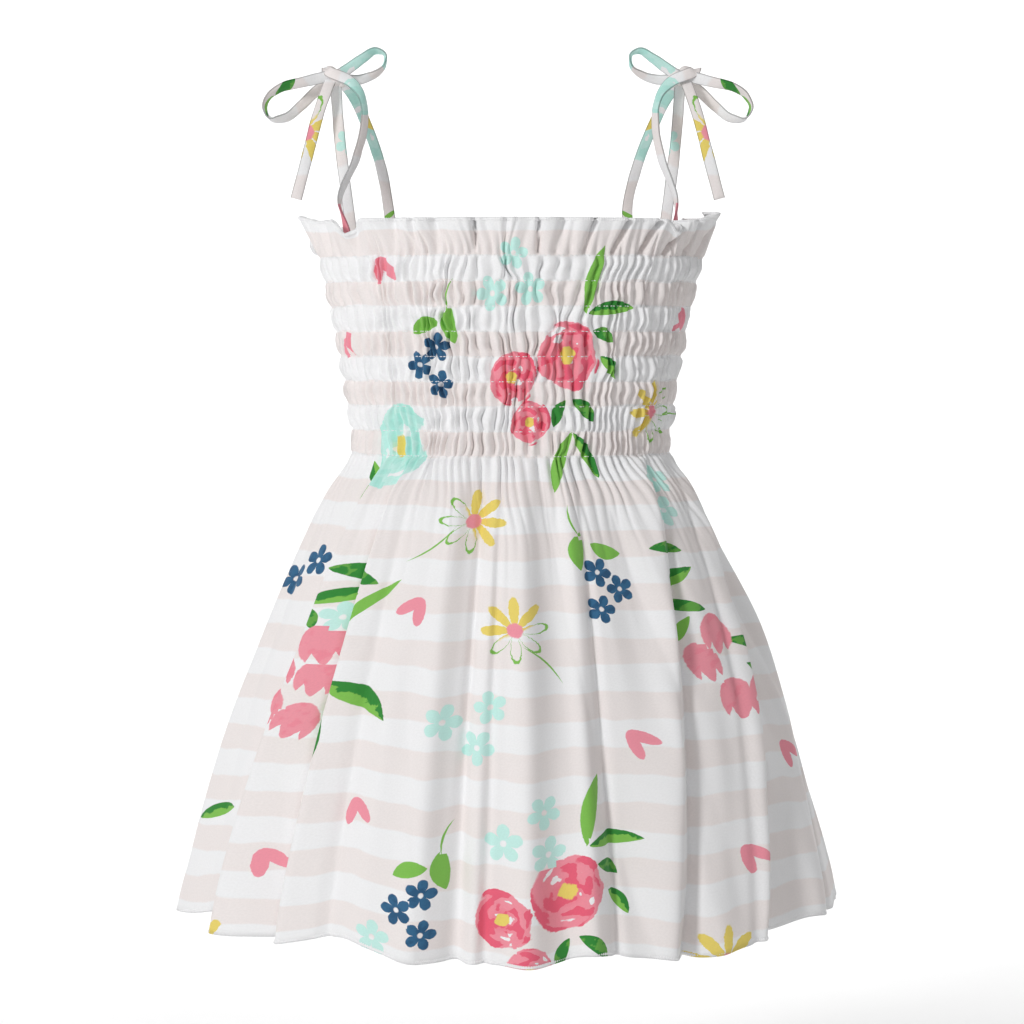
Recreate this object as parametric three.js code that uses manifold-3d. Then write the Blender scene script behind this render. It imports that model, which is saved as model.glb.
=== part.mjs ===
// Toddler sundress, hollow as worn: a shirred bodice and flared skirt in one front and one back
// panel, and four narrow ties that are knotted in a bow above each shoulder.
// Millimetres, +Z up, the front faces -Y. The origin is midway between the two shoulder points
// that the ties bear on.
import * as THREE from "three";
import { mergeVertices } from "three/addons/utils/BufferGeometryUtils.js";
import Module from "manifold-3d";

// Driving dimensions
const topEdgeZ = -78; // top of the frilled heading
const firstRowZ = -97.8; // uppermost row of elastic stitching
const rowPitch = 13.45;
const rowCount = 9;
const waistZ = firstRowZ - rowPitch * (rowCount - 1);
const hemZ = -458; // at the side seams
const wall = 1.6; // cloth wall, drawn thicker than the real cotton
const seamGap = 0.3;

const gathersPerPanel = 52;
const gatherHeight = 1.5; // ridge over furrow, halfway between two rows
const gatherAtRow = 0.6; // the same on a row of stitching
const puffHeight = 1.3; // how far the cloth swells between two rows
const gatherFade = 34; // the gathers run this far into the skirt
const columnDrift = 0.16; // unevenness of their spacing, as a share of it

const wavesPerPanel = 13;
const waveHeight = 2.4; // frill waves at the top edge

const tieWidth = 6;
const tieThickness = 1.2;
const knotLength = 19;
const knotRadius = 5.6;

// Body sections, from the top edge to the hem. power shapes the ring: 2 is an ellipse, more is
// squarer. dip is how much lower the cloth hangs at the centre front and back than this height.
const sections = [
  { z: topEdgeZ, halfWidth: 110.5, halfDepth: 79, power: 2.2, dip: 0 },
  { z: firstRowZ, halfWidth: 105, halfDepth: 73.5, power: 2.2, dip: 0 },
  { z: -124.7, halfWidth: 98.3, halfDepth: 70, power: 2.2, dip: 0 },
  { z: -151.6, halfWidth: 93.4, halfDepth: 67.5, power: 2.2, dip: 0 },
  { z: -178.5, halfWidth: 89.2, halfDepth: 65.5, power: 2.2, dip: 0 },
  { z: waistZ, halfWidth: 87, halfDepth: 64, power: 2.2, dip: 0 },
  { z: -227, halfWidth: 101.5, halfDepth: 76, power: 2.15, dip: 0.2 },
  { z: -261, halfWidth: 119, halfDepth: 89, power: 2.05, dip: 0.6 },
  { z: -306, halfWidth: 138, halfDepth: 104, power: 1.95, dip: 1.2 },
  { z: -351, halfWidth: 156, halfDepth: 118, power: 1.88, dip: 1.8 },
  { z: -396, halfWidth: 171.5, halfDepth: 130, power: 1.82, dip: 2.4 },
  { z: -440, halfWidth: 184.5, halfDepth: 139.5, power: 1.78, dip: 2.9 },
  { z: hemZ, halfWidth: 188.5, halfDepth: 143, power: 1.75, dip: 3.2 },
];

// Skirt folds. Places run round the ring: 0 is the side seam at -X, 1 the centre front, 2 the
// side seam at +X and 3 the centre back. Rise is at the hem, in millimetres, and the two
// flanks are given in the same units as the places.
const folds = [
  { waist: 0.3, hem: 0.31, rise: 10, before: 0.03, after: 0.11 },
  { waist: 0.52, hem: 0.52, rise: 4, before: 0.07, after: 0.06 },
  { waist: 0.82, hem: 0.81, rise: 9, before: 0.12, after: 0.07 },
  { waist: 1.06, hem: 1.03, rise: 10, before: 0.07, after: 0.07 },
  { waist: 1.34, hem: 1.2, rise: 3, before: 0.05, after: 0.05 },
  { waist: 1.6, hem: 1.31, rise: 9, before: 0.08, after: 0.07 },
  { waist: 1.92, hem: 1.5, rise: 9, before: 0.08, after: 0.03 },
  { waist: 2.1, hem: 1.72, rise: 7, before: 0.07, after: 0.05 },
  { waist: 2.3, hem: 2.2, rise: 7, before: 0.06, after: 0.09 },
  { waist: 2.5, hem: 2.47, rise: 9, before: 0.08, after: 0.06 },
  { waist: 2.78, hem: 2.76, rise: 8, before: 0.1, after: 0.06 },
  { waist: 3.04, hem: 3.05, rise: 10, before: 0.06, after: 0.09 },
  { waist: 3.33, hem: 3.36, rise: 7, before: 0.07, after: 0.07 },
  { waist: 3.62, hem: 3.68, rise: 9, before: 0.09, after: 0.06 },
];

const cottonWhite = "#f4eeed";
const cloth = () =>
  new THREE.MeshStandardMaterial({ color: cottonWhite, roughness: 0.88, metalness: 0 });

// Value of one column of a table at height z, on a smooth curve through its rows
function column(table, key, z) {
  let i = 0;
  while (i < table.length - 2 && z < table[i + 1].z) i++;
  const at = (k) => table[Math.min(Math.max(k, 0), table.length - 1)];
  const [p0, p1, p2, p3] = [at(i - 1), at(i), at(i + 1), at(i + 2)];
  const span = p2.z - p1.z;
  const t = Math.min(Math.max((z - p1.z) / span, 0), 1);
  const slope = (a, b) => (b.z === a.z ? 0 : ((b[key] - a[key]) / (b.z - a.z)) * span);
  const m1 = slope(p0, p2);
  const m2 = slope(p1, p3);
  const t2 = t * t;
  const t3 = t2 * t;
  return (
    (2 * t3 - 3 * t2 + 1) * p1[key] +
    (t3 - 2 * t2 + t) * m1 +
    (3 * t2 - 2 * t3) * p2[key] +
    (t3 - t2) * m2
  );
}

// The ring at one height: finely stepped points, with the length walked so far
const ringSteps = 480;
function makeRing(z) {
  const a = column(sections, "halfWidth", z);
  const b = column(sections, "halfDepth", z);
  const power = column(sections, "power", z);
  const bend = (v) => Math.sign(v) * Math.abs(v) ** (2 / power);
  const points = [];
  for (let i = 0; i <= ringSteps; i++) {
    const turn = (2 * Math.PI * i) / ringSteps;
    points.push(new THREE.Vector2(-a * bend(Math.cos(turn)), -b * bend(Math.sin(turn))));
  }
  const walked = [0];
  for (let i = 1; i <= ringSteps; i++) walked.push(walked[i - 1] + points[i].distanceTo(points[i - 1]));
  return { points, walked, length: walked[ringSteps] };
}

// Point and outward normal of a ring at a place from 0 to 4
function onRing(ring, place) {
  const goal = (((place % 4) + 4) % 4) * (ring.length / 4);
  let low = 0;
  let high = ringSteps;
  while (high - low > 1) {
    const middle = (low + high) >> 1;
    if (ring.walked[middle] <= goal) low = middle;
    else high = middle;
  }
  const share = (goal - ring.walked[low]) / (ring.walked[high] - ring.walked[low]);
  const point = ring.points[low].clone().lerp(ring.points[high], share);
  const along = ring.points[high].clone().sub(ring.points[low]).normalize();
  return { point, normal: new THREE.Vector2(along.y, -along.x) };
}

const wrapped = (d) => ((((d + 2) % 4) + 4) % 4) - 2;

// Large forms that both faces of the cloth follow: skirt folds, and waves of the heading
function form(z, place) {
  if (z > firstRowZ) {
    const rise = (z - firstRowZ) / (topEdgeZ - firstRowZ);
    const phase = Math.PI * wavesPerPanel * place + 0.9 * Math.sin(5.1 * place);
    return waveHeight * rise * Math.sin(phase) * (0.75 + 0.25 * Math.sin(3.3 * place + 1));
  }
  if (z > waistZ) return 0;
  const down = (waistZ - z) / (waistZ - hemZ);
  const growth = down ** 0.85;
  let sum = 0;
  for (const f of folds) {
    const d = wrapped(place - (f.waist + (f.hem - f.waist) * down ** 0.7));
    const share = 2 / (Math.exp(-d / f.before) + Math.exp(d / f.after));
    sum += f.rise * growth * share;
  }
  return sum - 3.2 * growth;
}

// Relief on the outer face alone: puffs between the rows, and the gathers
function relief(z, place, ridge) {
  const uneven = 0.8 + 0.2 * Math.sin(11.3 * place + 0.05 * z);
  if (z > firstRowZ) {
    const rise = (z - firstRowZ) / (topEdgeZ - firstRowZ);
    return ridge * uneven * gatherAtRow * (1 - rise) * 1.6;
  }
  if (z >= waistZ) {
    const between = Math.sin((Math.PI * (firstRowZ - z)) / rowPitch) ** 2;
    const height = gatherAtRow + (gatherHeight - gatherAtRow) * between;
    return puffHeight * between + ridge * uneven * height;
  }
  const fade = Math.max(0, 1 - (waistZ - z) / gatherFade);
  return ridge * uneven * gatherHeight * fade;
}

// One row of points across a panel, whose left edge is at the place start and right at start + 2.
// With relief, every second column is a ridge.
function panelRow(z, start, columns, withRelief) {
  const ring = makeRing(z);
  const dip = column(sections, "dip", z);
  const trim = ((seamGap / 2) * 4) / ring.length;
  const row = [];
  for (let j = 0; j <= columns; j++) {
    const inner = j > 0 && j < columns;
    const drift = inner && withRelief ? columnDrift * Math.sin(2.4 * j + 0.06 * z) : 0;
    const share = (j + drift) / columns;
    const place = start + trim + (2 - 2 * trim) * share;
    const { point, normal } = onRing(ring, place);
    let out = form(z, place);
    if (withRelief) out += wall / 2 + relief(z, place, columns > gathersPerPanel ? j % 2 : 0.5);
    else out -= wall / 2;
    const height = z - dip * Math.sin((Math.PI / 2) * place) ** 4;
    row.push(new THREE.Vector3(point.x + normal.x * out, point.y + normal.y * out, height));
  }
  return row;
}

// Triangles between two rows of points, which may have different counts. Seen from the side
// that the faces point to, a lies over b and both run from left to right. The steps along the
// rows keep abreast by their share of the row, or by height on rows that run downwards.
function zip(a, b, triangles, byHeight = false) {
  const share = (row, k) => (byHeight ? row[0].z - row[k].z : k / (row.length - 1));
  let i = 0;
  let j = 0;
  while (i < a.length - 1 || j < b.length - 1) {
    const nextA = i < a.length - 1 ? share(a, i + 1) : 0;
    const nextB = j < b.length - 1 ? share(b, j + 1) : 0;
    if (i < a.length - 1 && (j === b.length - 1 || nextA <= nextB)) {
      triangles.push([a[i], b[j], a[i + 1]]);
      i++;
    } else {
      triangles.push([a[i], b[j], b[j + 1]]);
      j++;
    }
  }
}

function geometryOf(triangles) {
  const values = triangles.flat().flatMap((p) => [p.x, p.y, p.z]);
  const geometry = new THREE.BufferGeometry();
  geometry.setAttribute("position", new THREE.Float32BufferAttribute(values, 3));
  const merged = mergeVertices(geometry, 1e-4);
  merged.computeVertexNormals();
  return merged;
}

// Heights of the outer and inner rows of a panel
const fineColumns = gathersPerPanel * 2;
const coarseColumns = gathersPerPanel;
const headingMiddleZ = (topEdgeZ + firstRowZ) / 2;
function outerRows() {
  const rows = [
    { z: topEdgeZ, columns: fineColumns },
    { z: headingMiddleZ, columns: fineColumns },
  ];
  for (let r = 0; r < rowCount; r++) {
    rows.push({ z: firstRowZ - r * rowPitch, columns: fineColumns });
    if (r < rowCount - 1) rows.push({ z: firstRowZ - (r + 0.5) * rowPitch, columns: fineColumns });
  }
  rows.push({ z: waistZ - gatherFade * 0.3, columns: fineColumns });
  rows.push({ z: waistZ - gatherFade * 0.7, columns: fineColumns });
  for (const z of skirtRows) rows.push({ z, columns: coarseColumns });
  return rows;
}
const skirtRows = [-248, -285, -322, -359, -396, -430, hemZ];
function innerRows() {
  const heights = [topEdgeZ, headingMiddleZ];
  for (let r = 0; r < rowCount; r += 2) heights.push(firstRowZ - r * rowPitch);
  heights.push(waistZ - gatherFade * 0.3, waistZ - gatherFade * 0.7, ...skirtRows);
  return heights.map((z) => ({ z, columns: coarseColumns }));
}

// A panel: outer face with its relief, plain inner face, and the four edges between them
function panel(start) {
  const outer = outerRows().map((r) => panelRow(r.z, start, r.columns, true));
  const inner = innerRows().map((r) => panelRow(r.z, start, r.columns, false));
  const triangles = [];
  for (let i = 0; i < outer.length - 1; i++) zip(outer[i], outer[i + 1], triangles);
  for (let i = 0; i < inner.length - 1; i++) {
    zip([...inner[i]].reverse(), [...inner[i + 1]].reverse(), triangles);
  }
  zip(inner[0], outer[0], triangles);
  zip(outer.at(-1), inner.at(-1), triangles);
  const edge = (rows, last) => rows.map((row) => (last ? row.at(-1) : row[0]));
  zip(edge(outer, false), edge(inner, false), triangles, true);
  zip(edge(inner, true), edge(outer, true), triangles, true);
  return geometryOf(triangles);
}

// Smooth curve through the points of a route. Each point also says which way the width of
// the tie runs there.
const stepsPerSpan = 2;
function ribbon(route, side, grow) {
  const centres = new THREE.CatmullRomCurve3(
    route.map((p) => new THREE.Vector3(side * (p.out - lean(side)), p.y, p.z)),
    false,
    "centripetal",
  );
  const widths = new THREE.CatmullRomCurve3(
    route.map((p) => new THREE.Vector3(side * p.wide[0], p.wide[1], p.wide[2]).normalize()),
  );
  const steps = (route.length - 1) * stepsPerSpan;
  const rings = [];
  for (let i = 0; i <= steps; i++) {
    const t = i / steps;
    const centre = centres.getPoint(t);
    const along = centres.getTangent(t);
    const wide = widths.getPoint(t);
    wide.addScaledVector(along, -wide.dot(along)).normalize();
    const thick = new THREE.Vector3().crossVectors(along, wide);
    const corner = (w, h) =>
      centre
        .clone()
        .addScaledVector(wide, w * (tieWidth / 2 + grow))
        .addScaledVector(thick, h * (tieThickness / 2 + grow));
    rings.push([corner(-1, -1), corner(1, -1), corner(1, 1), corner(-1, 1)]);
  }
  const triangles = [];
  for (let i = 0; i < steps; i++) {
    for (let k = 0; k < 4; k++) {
      const n = (k + 1) % 4;
      triangles.push([rings[i][k], rings[i][n], rings[i + 1][n]]);
      triangles.push([rings[i][k], rings[i + 1][n], rings[i + 1][k]]);
    }
  }
  const first = rings[0];
  const last = rings[steps];
  triangles.push([first[0], first[2], first[1]], [first[0], first[3], first[2]]);
  triangles.push([last[0], last[1], last[2]], [last[0], last[2], last[3]]);
  return geometryOf(triangles);
}

// Routes of the ties. out is measured from the middle of the body towards the arm.
const knotCentre = { out: 98, y: 2, z: 3 };
const knotTilt = THREE.MathUtils.degToRad(23);
const routes = {
  bow_loop_outer: [
    { out: 99, y: -1, z: 3.5, wide: [0.1, -0.3, 1] },
    { out: 107, y: -3, z: 1.6, wide: [0.1, -0.3, 1] },
    { out: 116, y: -6, z: -0.8, wide: [0.1, -0.5, 1] },
    { out: 126, y: -7, z: -3.4, wide: [0, -0.9, 0.9] },
    { out: 133.5, y: -6, z: -8, wide: [0, -1, 0.6] },
    { out: 136.5, y: -3, z: -14, wide: [0.2, -1, 0.3] },
    { out: 133.5, y: 1, z: -20, wide: [0.3, -1, 0.3] },
    { out: 126, y: 4, z: -19.5, wide: [0.1, -0.8, 0.7] },
    { out: 117, y: 6, z: -12.5, wide: [0.3, -0.5, 0.9] },
    { out: 108, y: 6.5, z: -4, wide: [0.4, -0.4, 0.8] },
    { out: 100, y: 5, z: 1, wide: [0.3, -0.3, 0.8] },
  ],
  bow_loop_inner: [
    { out: 97, y: 0, z: 3, wide: [0.4, -0.5, 1] },
    { out: 90, y: 0, z: 7.5, wide: [0.4, -0.5, 1] },
    { out: 82, y: -1, z: 13, wide: [0.4, -0.7, 0.8] },
    { out: 75, y: 0, z: 17, wide: [0.2, -1, 0.5] },
    { out: 70.5, y: 2, z: 15.5, wide: [0, -1, 0.2] },
    { out: 70.5, y: 5, z: 10, wide: [0, -1, 0.2] },
    { out: 76, y: 8, z: 5, wide: [0.1, -0.8, 0.5] },
    { out: 84, y: 8.5, z: 2.2, wide: [0.1, -0.6, 0.8] },
    { out: 95, y: 6, z: 2, wide: [0, -0.5, 1] },
  ],
  tail_outer: [
    { out: 100, y: -1, z: 1, wide: [1, 0, 0.2] },
    { out: 102.5, y: -5, z: -6, wide: [1, 0, 0.2] },
    { out: 106.5, y: -7, z: -18, wide: [1, -0.1, 0.2] },
    { out: 111.5, y: -8, z: -37, wide: [1, -0.2, 0.2] },
    { out: 119, y: -8, z: -65, wide: [1, -0.1, 0.3] },
  ],
  tail_inner: [
    { out: 97.5, y: 2, z: 0, wide: [1, 0.1, 0] },
    { out: 97, y: 3, z: -10, wide: [1, 0.2, 0] },
    { out: 95, y: 4, z: -36, wide: [1, 0.1, 0] },
    { out: 92.5, y: 4, z: -57, wide: [1, 0, 0] },
    { out: 89, y: 4, z: -84, wide: [1, -0.1, 0] },
  ],
};
const frontTie = [
  { out: 93.5, y: -29, z: -66, wide: [0.3, 1, 0] },
  { out: 85, y: -23, z: -44, wide: [0.1, 1, 0] },
  { out: 81, y: -17, z: -27, wide: [0.1, 1, 0] },
  { out: 81, y: -11, z: -14, wide: [0.3, 1, 0.2] },
  { out: 85.5, y: -6, z: -4, wide: [0.3, 1, 0.5] },
  { out: 95, y: -2, z: 1.5, wide: [0.1, 0.6, 1] },
];
const backTie = [
  { out: 70.5, y: 52, z: -68, wide: [1, 0.3, 0] },
  { out: 74, y: 42, z: -46, wide: [1, 0.2, 0] },
  { out: 82, y: 27, z: -21, wide: [1, 0.1, 0] },
  { out: 89.5, y: 14, z: -5.5, wide: [1, 0, 0.1] },
  { out: 96, y: 4, z: 1, wide: [1, 0, 0.2] },
];

// The right bow sits this much nearer the neck than the left one
const rightBowShift = 3.5;
const lean = (side) => (side > 0 ? rightBowShift : 0);

// The ties that hold the dress up follow the bow's shift from where they leave the heading
const freeFromZ = topEdgeZ + 12;
const following = (route, side) =>
  route.map((p) => ({ ...p, out: p.out + lean(side) * Math.min(p.z / freeFromZ, 1) }));

// The sewn end of a tie, flat on the inside of a panel from just below the first row upwards
const sewnHeights = [firstRowZ - 4, firstRowZ + 3, firstRowZ + 10];
const sewnGap = seamGap + wall / 2 + tieThickness / 2;
function sewnEnd(place, tangentSign) {
  return sewnHeights.map((z) => {
    const { point, normal } = onRing(makeRing(z), place);
    const inward = sewnGap + Math.max(0, z - firstRowZ) * 0.42;
    const x = point.x - normal.x * inward;
    return {
      out: x,
      y: point.y - normal.y * inward,
      z,
      wide: [-normal.y * tangentSign, normal.x * tangentSign, 0],
    };
  });
}
const frontSewnPlace = 1.695;
const backSewnPlace = 2.5;

// The wrapped knot: a barrel whose long axis falls towards the neck
function knot(side, grow) {
  const half = knotLength / 2 + grow;
  const profile = [];
  const turns = 8;
  for (let i = 0; i <= turns; i++) {
    const a = -Math.PI / 2 + (Math.PI * i) / turns;
    const r = (knotRadius + grow) * Math.abs(Math.cos(a)) ** 0.6;
    profile.push(new THREE.Vector2(i === 0 || i === turns ? 0 : r, half * Math.sin(a)));
  }
  const geometry = new THREE.LatheGeometry(profile, 14);
  geometry.deleteAttribute("normal");
  geometry.deleteAttribute("uv");
  const across = Math.PI / 2 - knotTilt;
  geometry.rotateZ(-side * across);
  geometry.translate(side * (knotCentre.out - lean(side)), knotCentre.y, knotCentre.z);
  return mergeVertices(geometry, 1e-4);
}

const wasm = await Module();
wasm.setup();
function solidOf(geometry) {
  return new wasm.Manifold(
    new wasm.Mesh({
      numProp: 3,
      vertProperties: geometry.attributes.position.array,
      triVerts: new Uint32Array(geometry.index.array),
    }),
  );
}
function geometryFrom(solid) {
  const made = solid.getMesh();
  const geometry = new THREE.BufferGeometry();
  geometry.setAttribute("position", new THREE.BufferAttribute(made.vertProperties, 3));
  geometry.setIndex(new THREE.BufferAttribute(made.triVerts, 1));
  geometry.computeVertexNormals();
  return geometry;
}

const dress = new THREE.Group();
function add(name, geometry) {
  const mesh = new THREE.Mesh(geometry, cloth());
  mesh.name = name;
  dress.add(mesh);
}

add("front_panel", panel(0));
add("back_panel", panel(2));
for (const [sideName, side] of [
  ["left", -1],
  ["right", 1],
]) {
  add("knot_" + sideName, knot(side, 0));
  const taken = [solidOf(knot(side, seamGap))];
  const ties = {
    tie_front: following([...sewnEnd(frontSewnPlace, 1), ...frontTie], side),
    tie_back: following([...sewnEnd(backSewnPlace, -1), ...backTie], side),
    ...routes,
  };
  for (const [name, route] of Object.entries(ties)) {
    let tie = solidOf(ribbon(route, side, 0));
    for (const neighbour of taken) tie = tie.subtract(neighbour);
    const pieces = tie.decompose().sort((p, q) => q.volume() - p.volume());
    add(name + "_" + sideName, geometryFrom(pieces[0]));
    taken.push(solidOf(ribbon(route, side, seamGap)));
  }
}

export default dress;
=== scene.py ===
import bpy
import numpy as np
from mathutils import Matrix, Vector


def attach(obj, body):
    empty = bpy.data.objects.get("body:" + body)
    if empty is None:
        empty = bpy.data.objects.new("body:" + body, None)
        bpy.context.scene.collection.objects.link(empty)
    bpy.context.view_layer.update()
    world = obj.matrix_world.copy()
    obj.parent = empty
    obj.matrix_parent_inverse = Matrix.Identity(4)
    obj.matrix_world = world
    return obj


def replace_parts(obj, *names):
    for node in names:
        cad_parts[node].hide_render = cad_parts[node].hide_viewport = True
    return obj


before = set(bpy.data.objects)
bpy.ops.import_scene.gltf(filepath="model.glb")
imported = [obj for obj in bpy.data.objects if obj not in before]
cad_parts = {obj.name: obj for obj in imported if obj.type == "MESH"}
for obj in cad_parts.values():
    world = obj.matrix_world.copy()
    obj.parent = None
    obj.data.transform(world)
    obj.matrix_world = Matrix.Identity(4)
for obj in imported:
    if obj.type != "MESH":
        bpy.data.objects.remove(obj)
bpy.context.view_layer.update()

# A toddler's shirred sundress, filled out as worn. Sizes are worked in millimetres and turned to
# metres where a mesh is made. The front faces -Y, and the origin lies between the shoulders.
millimetre = 0.001

camera = {
    "distance": 1500,
    "height": -138,  # where the horizon lies
    "across": 0.56,
    "tiltDown": 3.866,  # degrees
    "fieldOfView": 21.644,
    "middle": (511, 512),  # the body's middle line and the frame's half height, in its pixels
    "frame": 1024,
}

cameraData = bpy.data.cameras.new("portraitCamera")
cameraData.angle = np.radians(camera["fieldOfView"])
cameraObject = bpy.data.objects.new("portraitCamera", cameraData)
cameraObject.location = (
    camera["across"] * millimetre,
    -camera["distance"] * millimetre,
    camera["height"] * millimetre,
)
cameraObject.rotation_euler = (np.radians(90 - camera["tiltDown"]), 0, 0)
bpy.context.scene.collection.objects.link(cameraObject)
bpy.context.scene.camera = cameraObject


# Pixel of the frame that a point in millimetres falls on, by similar triangles, for the camera
# above or for one at the same height behind the dress
def onPicture(points, behind=False):
    tilt = np.radians(camera["tiltDown"])
    side = -1 if behind else 1
    ahead = side * points[..., 1] + camera["distance"]
    above = points[..., 2] - camera["height"]
    depth = ahead * np.cos(tilt) - above * np.sin(tilt)
    up = above * np.cos(tilt) + ahead * np.sin(tilt)
    focal = camera["frame"] / 2 / np.tan(np.radians(camera["fieldOfView"] / 2))
    across = camera["middle"][0] + focal * side * points[..., 0] / depth
    return across, camera["middle"][1] - focal * up / depth


dress = {
    "topEdge": -78,
    "firstRow": -97.8,  # uppermost row of elastic stitching
    "rowPitch": 13.45,
    "rows": 9,
    "hem": -458,
    "seamGap": 0.3,
    "gathers": 54,  # on each panel
    "stepsPerGather": 7,
    "gatherHeight": 6.4,
    "puffHeight": 0.4,
    "wall": 1.3,  # between the outer face and the plainer inner one
    "slant": 0.5,  # how far a gather leaves its column between two rows, as a share of a gather
    "shirrRun": (22, 16),  # mm that the gathers run into the skirt, and how far that varies
    "crumple": 0.9,
    "evenBelow": 45,  # mm below the waist where the skirt's columns run evenly again
    "foldDip": 0.08,  # how far a fold that stands out hangs lower, as a share
    "foldInset": 4.3,  # mm that the cloth lies further in between the folds
    "footWidth": 0.012,  # of the crease at a fold's foot, in places
    "softCreases": (1.8, 4.2, 0.5),  # height in mm of the long, the folded and the short ones
    "softFrom": 35,  # mm below the waist where those have their whole height
    "squeeze": 0.88,  # how much narrower the print lies where the cloth is gathered
    "stripe": 14.4,  # height of one stripe in the skirt
}
waist = dress["firstRow"] - dress["rowPitch"] * (dress["rows"] - 1)

# z, half width, half depth, squareness (2 is an ellipse), dip at the centre front and back
bodySections = np.array([
    (-78, 110.5, 79, 2.2, 0),
    (-97.8, 105, 73.5, 2.2, 0),
    (-124.7, 98.3, 70, 2.2, 0),
    (-151.6, 93.4, 67.5, 2.2, 0),
    (-178.5, 89.2, 65.5, 2.2, 0),
    (-205.4, 87, 64, 2.2, 0),
    (-227, 100, 75, 2.15, 0.2),
    (-261, 116.5, 88, 2.05, 0.6),
    (-306, 136.5, 103.5, 1.95, 1.2),
    (-351, 156, 118, 1.88, 1.8),
    (-396, 171.5, 130, 1.82, 2.4),
    (-440, 184.5, 139.5, 1.78, 2.9),
    (-458, 188.5, 143, 1.75, 3.2),
])

# Skirt folds. Places run round the dress: 0 is the side seam at -X, 1 the centre front, 2 the
# other seam and 3 the centre back. Columns: place at the waist, place at the hem, rise at the hem
# in mm, flank before and after in places, how far the crest leans along the cloth in mm, and the
# depth in mm of the crease at the foot of its steeper flank.
skirtFolds = np.array([
    (0.12, 0.14, 8, 0.03, 0.05, -3, 3),
    (0.44, 0.375, 13, 0.012, 0.09, -9, 9),
    (0.57, 0.545, 13, 0.014, 0.06, -7, 8),
    (0.70, 0.70, 7, 0.03, 0.04, 0, 3),
    (0.80, 0.81, 16, 0.045, 0.035, 2, 3),
    (0.95, 0.925, 9, 0.02, 0.03, 0, 3),
    (1.05, 1.03, 17, 0.035, 0.04, 0, 4),
    (1.22, 1.165, 10, 0.03, 0.02, 0, 4),
    (1.60, 1.31, 16, 0.05, 0.024, 5, 6),
    (1.74, 1.43, 6, 0.04, 0.03, 2, 3),
    (1.90, 1.53, 13, 0.06, 0.022, 7, 6),
    (2.10, 1.74, 9, 0.05, 0.04, 3, 3),
    (2.30, 2.20, 9, 0.04, 0.06, -3, 3),
    (2.50, 2.47, 12, 0.05, 0.04, 2, 4),
    (2.64, 2.62, 5, 0.03, 0.03, 0, 2),
    (2.78, 2.76, 11, 0.06, 0.04, 0, 4),
    (2.92, 2.90, 5, 0.03, 0.03, 0, 2),
    (3.04, 3.05, 13, 0.04, 0.06, -4, 5),
    (3.19, 3.20, 6, 0.03, 0.03, 0, 2),
    (3.33, 3.36, 10, 0.05, 0.05, 0, 3),
    (3.62, 3.68, 12, 0.06, 0.04, 3, 5),
    (3.80, 3.84, 6, 0.04, 0.04, 0, 2),
])

# Where the hem hangs lower or, below zero, higher: place, width in places, drop in mm
hemWaves = [
    (0.28, 0.07, -5),
    (0.48, 0.06, -1),
    (0.66, 0.09, -8),
    (1.16, 0.05, -4),
    (1.39, 0.08, 5),
    (1.72, 0.07, -4),
    (2.24, 0.10, -4),
    (2.62, 0.12, 3),
    (3.10, 0.10, -4),
    (3.45, 0.12, 4),
    (3.78, 0.08, -3),
]


# Hermite cubic: t from 0 to 1 between two values, with a slope at each
def hermite(t, before, slopeIn, after, slopeOut):
    return (
        (2 * t**3 - 3 * t**2 + 1) * before
        + (t**3 - 2 * t**2 + t) * slopeIn
        + (3 * t**2 - 2 * t**3) * after
        + (t**3 - t**2) * slopeOut
    )


# Length walked along a line, at each of its points
def walkedAlong(line):
    steps = np.linalg.norm(np.diff(line, axis=0), axis=1)
    return np.concatenate([[0], np.cumsum(steps)])


# Points of a line at given lengths along it
def resample(at, lengths, line):
    return np.stack([np.interp(at, lengths, column) for column in line.T], -1)


# Cubic through the rows of a table at heights z, with the slopes of the neighbours
def tableColumn(table, column, z):
    heights, values = table[:, 0], table[:, column]
    last = len(heights) - 1
    i = np.clip(np.searchsorted(-heights, -z, side="right") - 1, 0, last - 1)
    before, after = np.clip(i - 1, 0, last), np.clip(i + 2, 0, last)
    span = heights[i + 1] - heights[i]
    t = np.clip((z - heights[i]) / span, 0, 1)
    slopeIn = (values[i + 1] - values[before]) / (heights[i + 1] - heights[before]) * span
    slopeOut = (values[after] - values[i]) / (heights[after] - heights[i]) * span
    return hermite(t, values[i], slopeIn, values[i + 1], slopeOut)


# Value noise from -1 to 1: random numbers on a lattice that repeats, eased between its points
latticeSize = 64
lattice = np.random.default_rng(7).uniform(-1, 1, (8, latticeSize, latticeSize))


def valueNoise(x, y, layer=0):
    column, row = np.floor(x).astype(int), np.floor(y).astype(int)
    easeX, easeY = x - column, y - row
    easeX, easeY = easeX**2 * (3 - 2 * easeX), easeY**2 * (3 - 2 * easeY)
    left, right = column % latticeSize, (column + 1) % latticeSize
    low, high = row % latticeSize, (row + 1) % latticeSize
    sheet = lattice[layer]
    bottom = sheet[low, left] * (1 - easeX) + sheet[low, right] * easeX
    top = sheet[high, left] * (1 - easeX) + sheet[high, right] * easeX
    return bottom * (1 - easeY) + top * easeY


# Points and outward normals of the plain body at given heights and places. Each ring is the
# superellipse |x/a|^p + |y/b|^p = 1, and places are equal shares of its length.
ringSteps = 720


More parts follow.
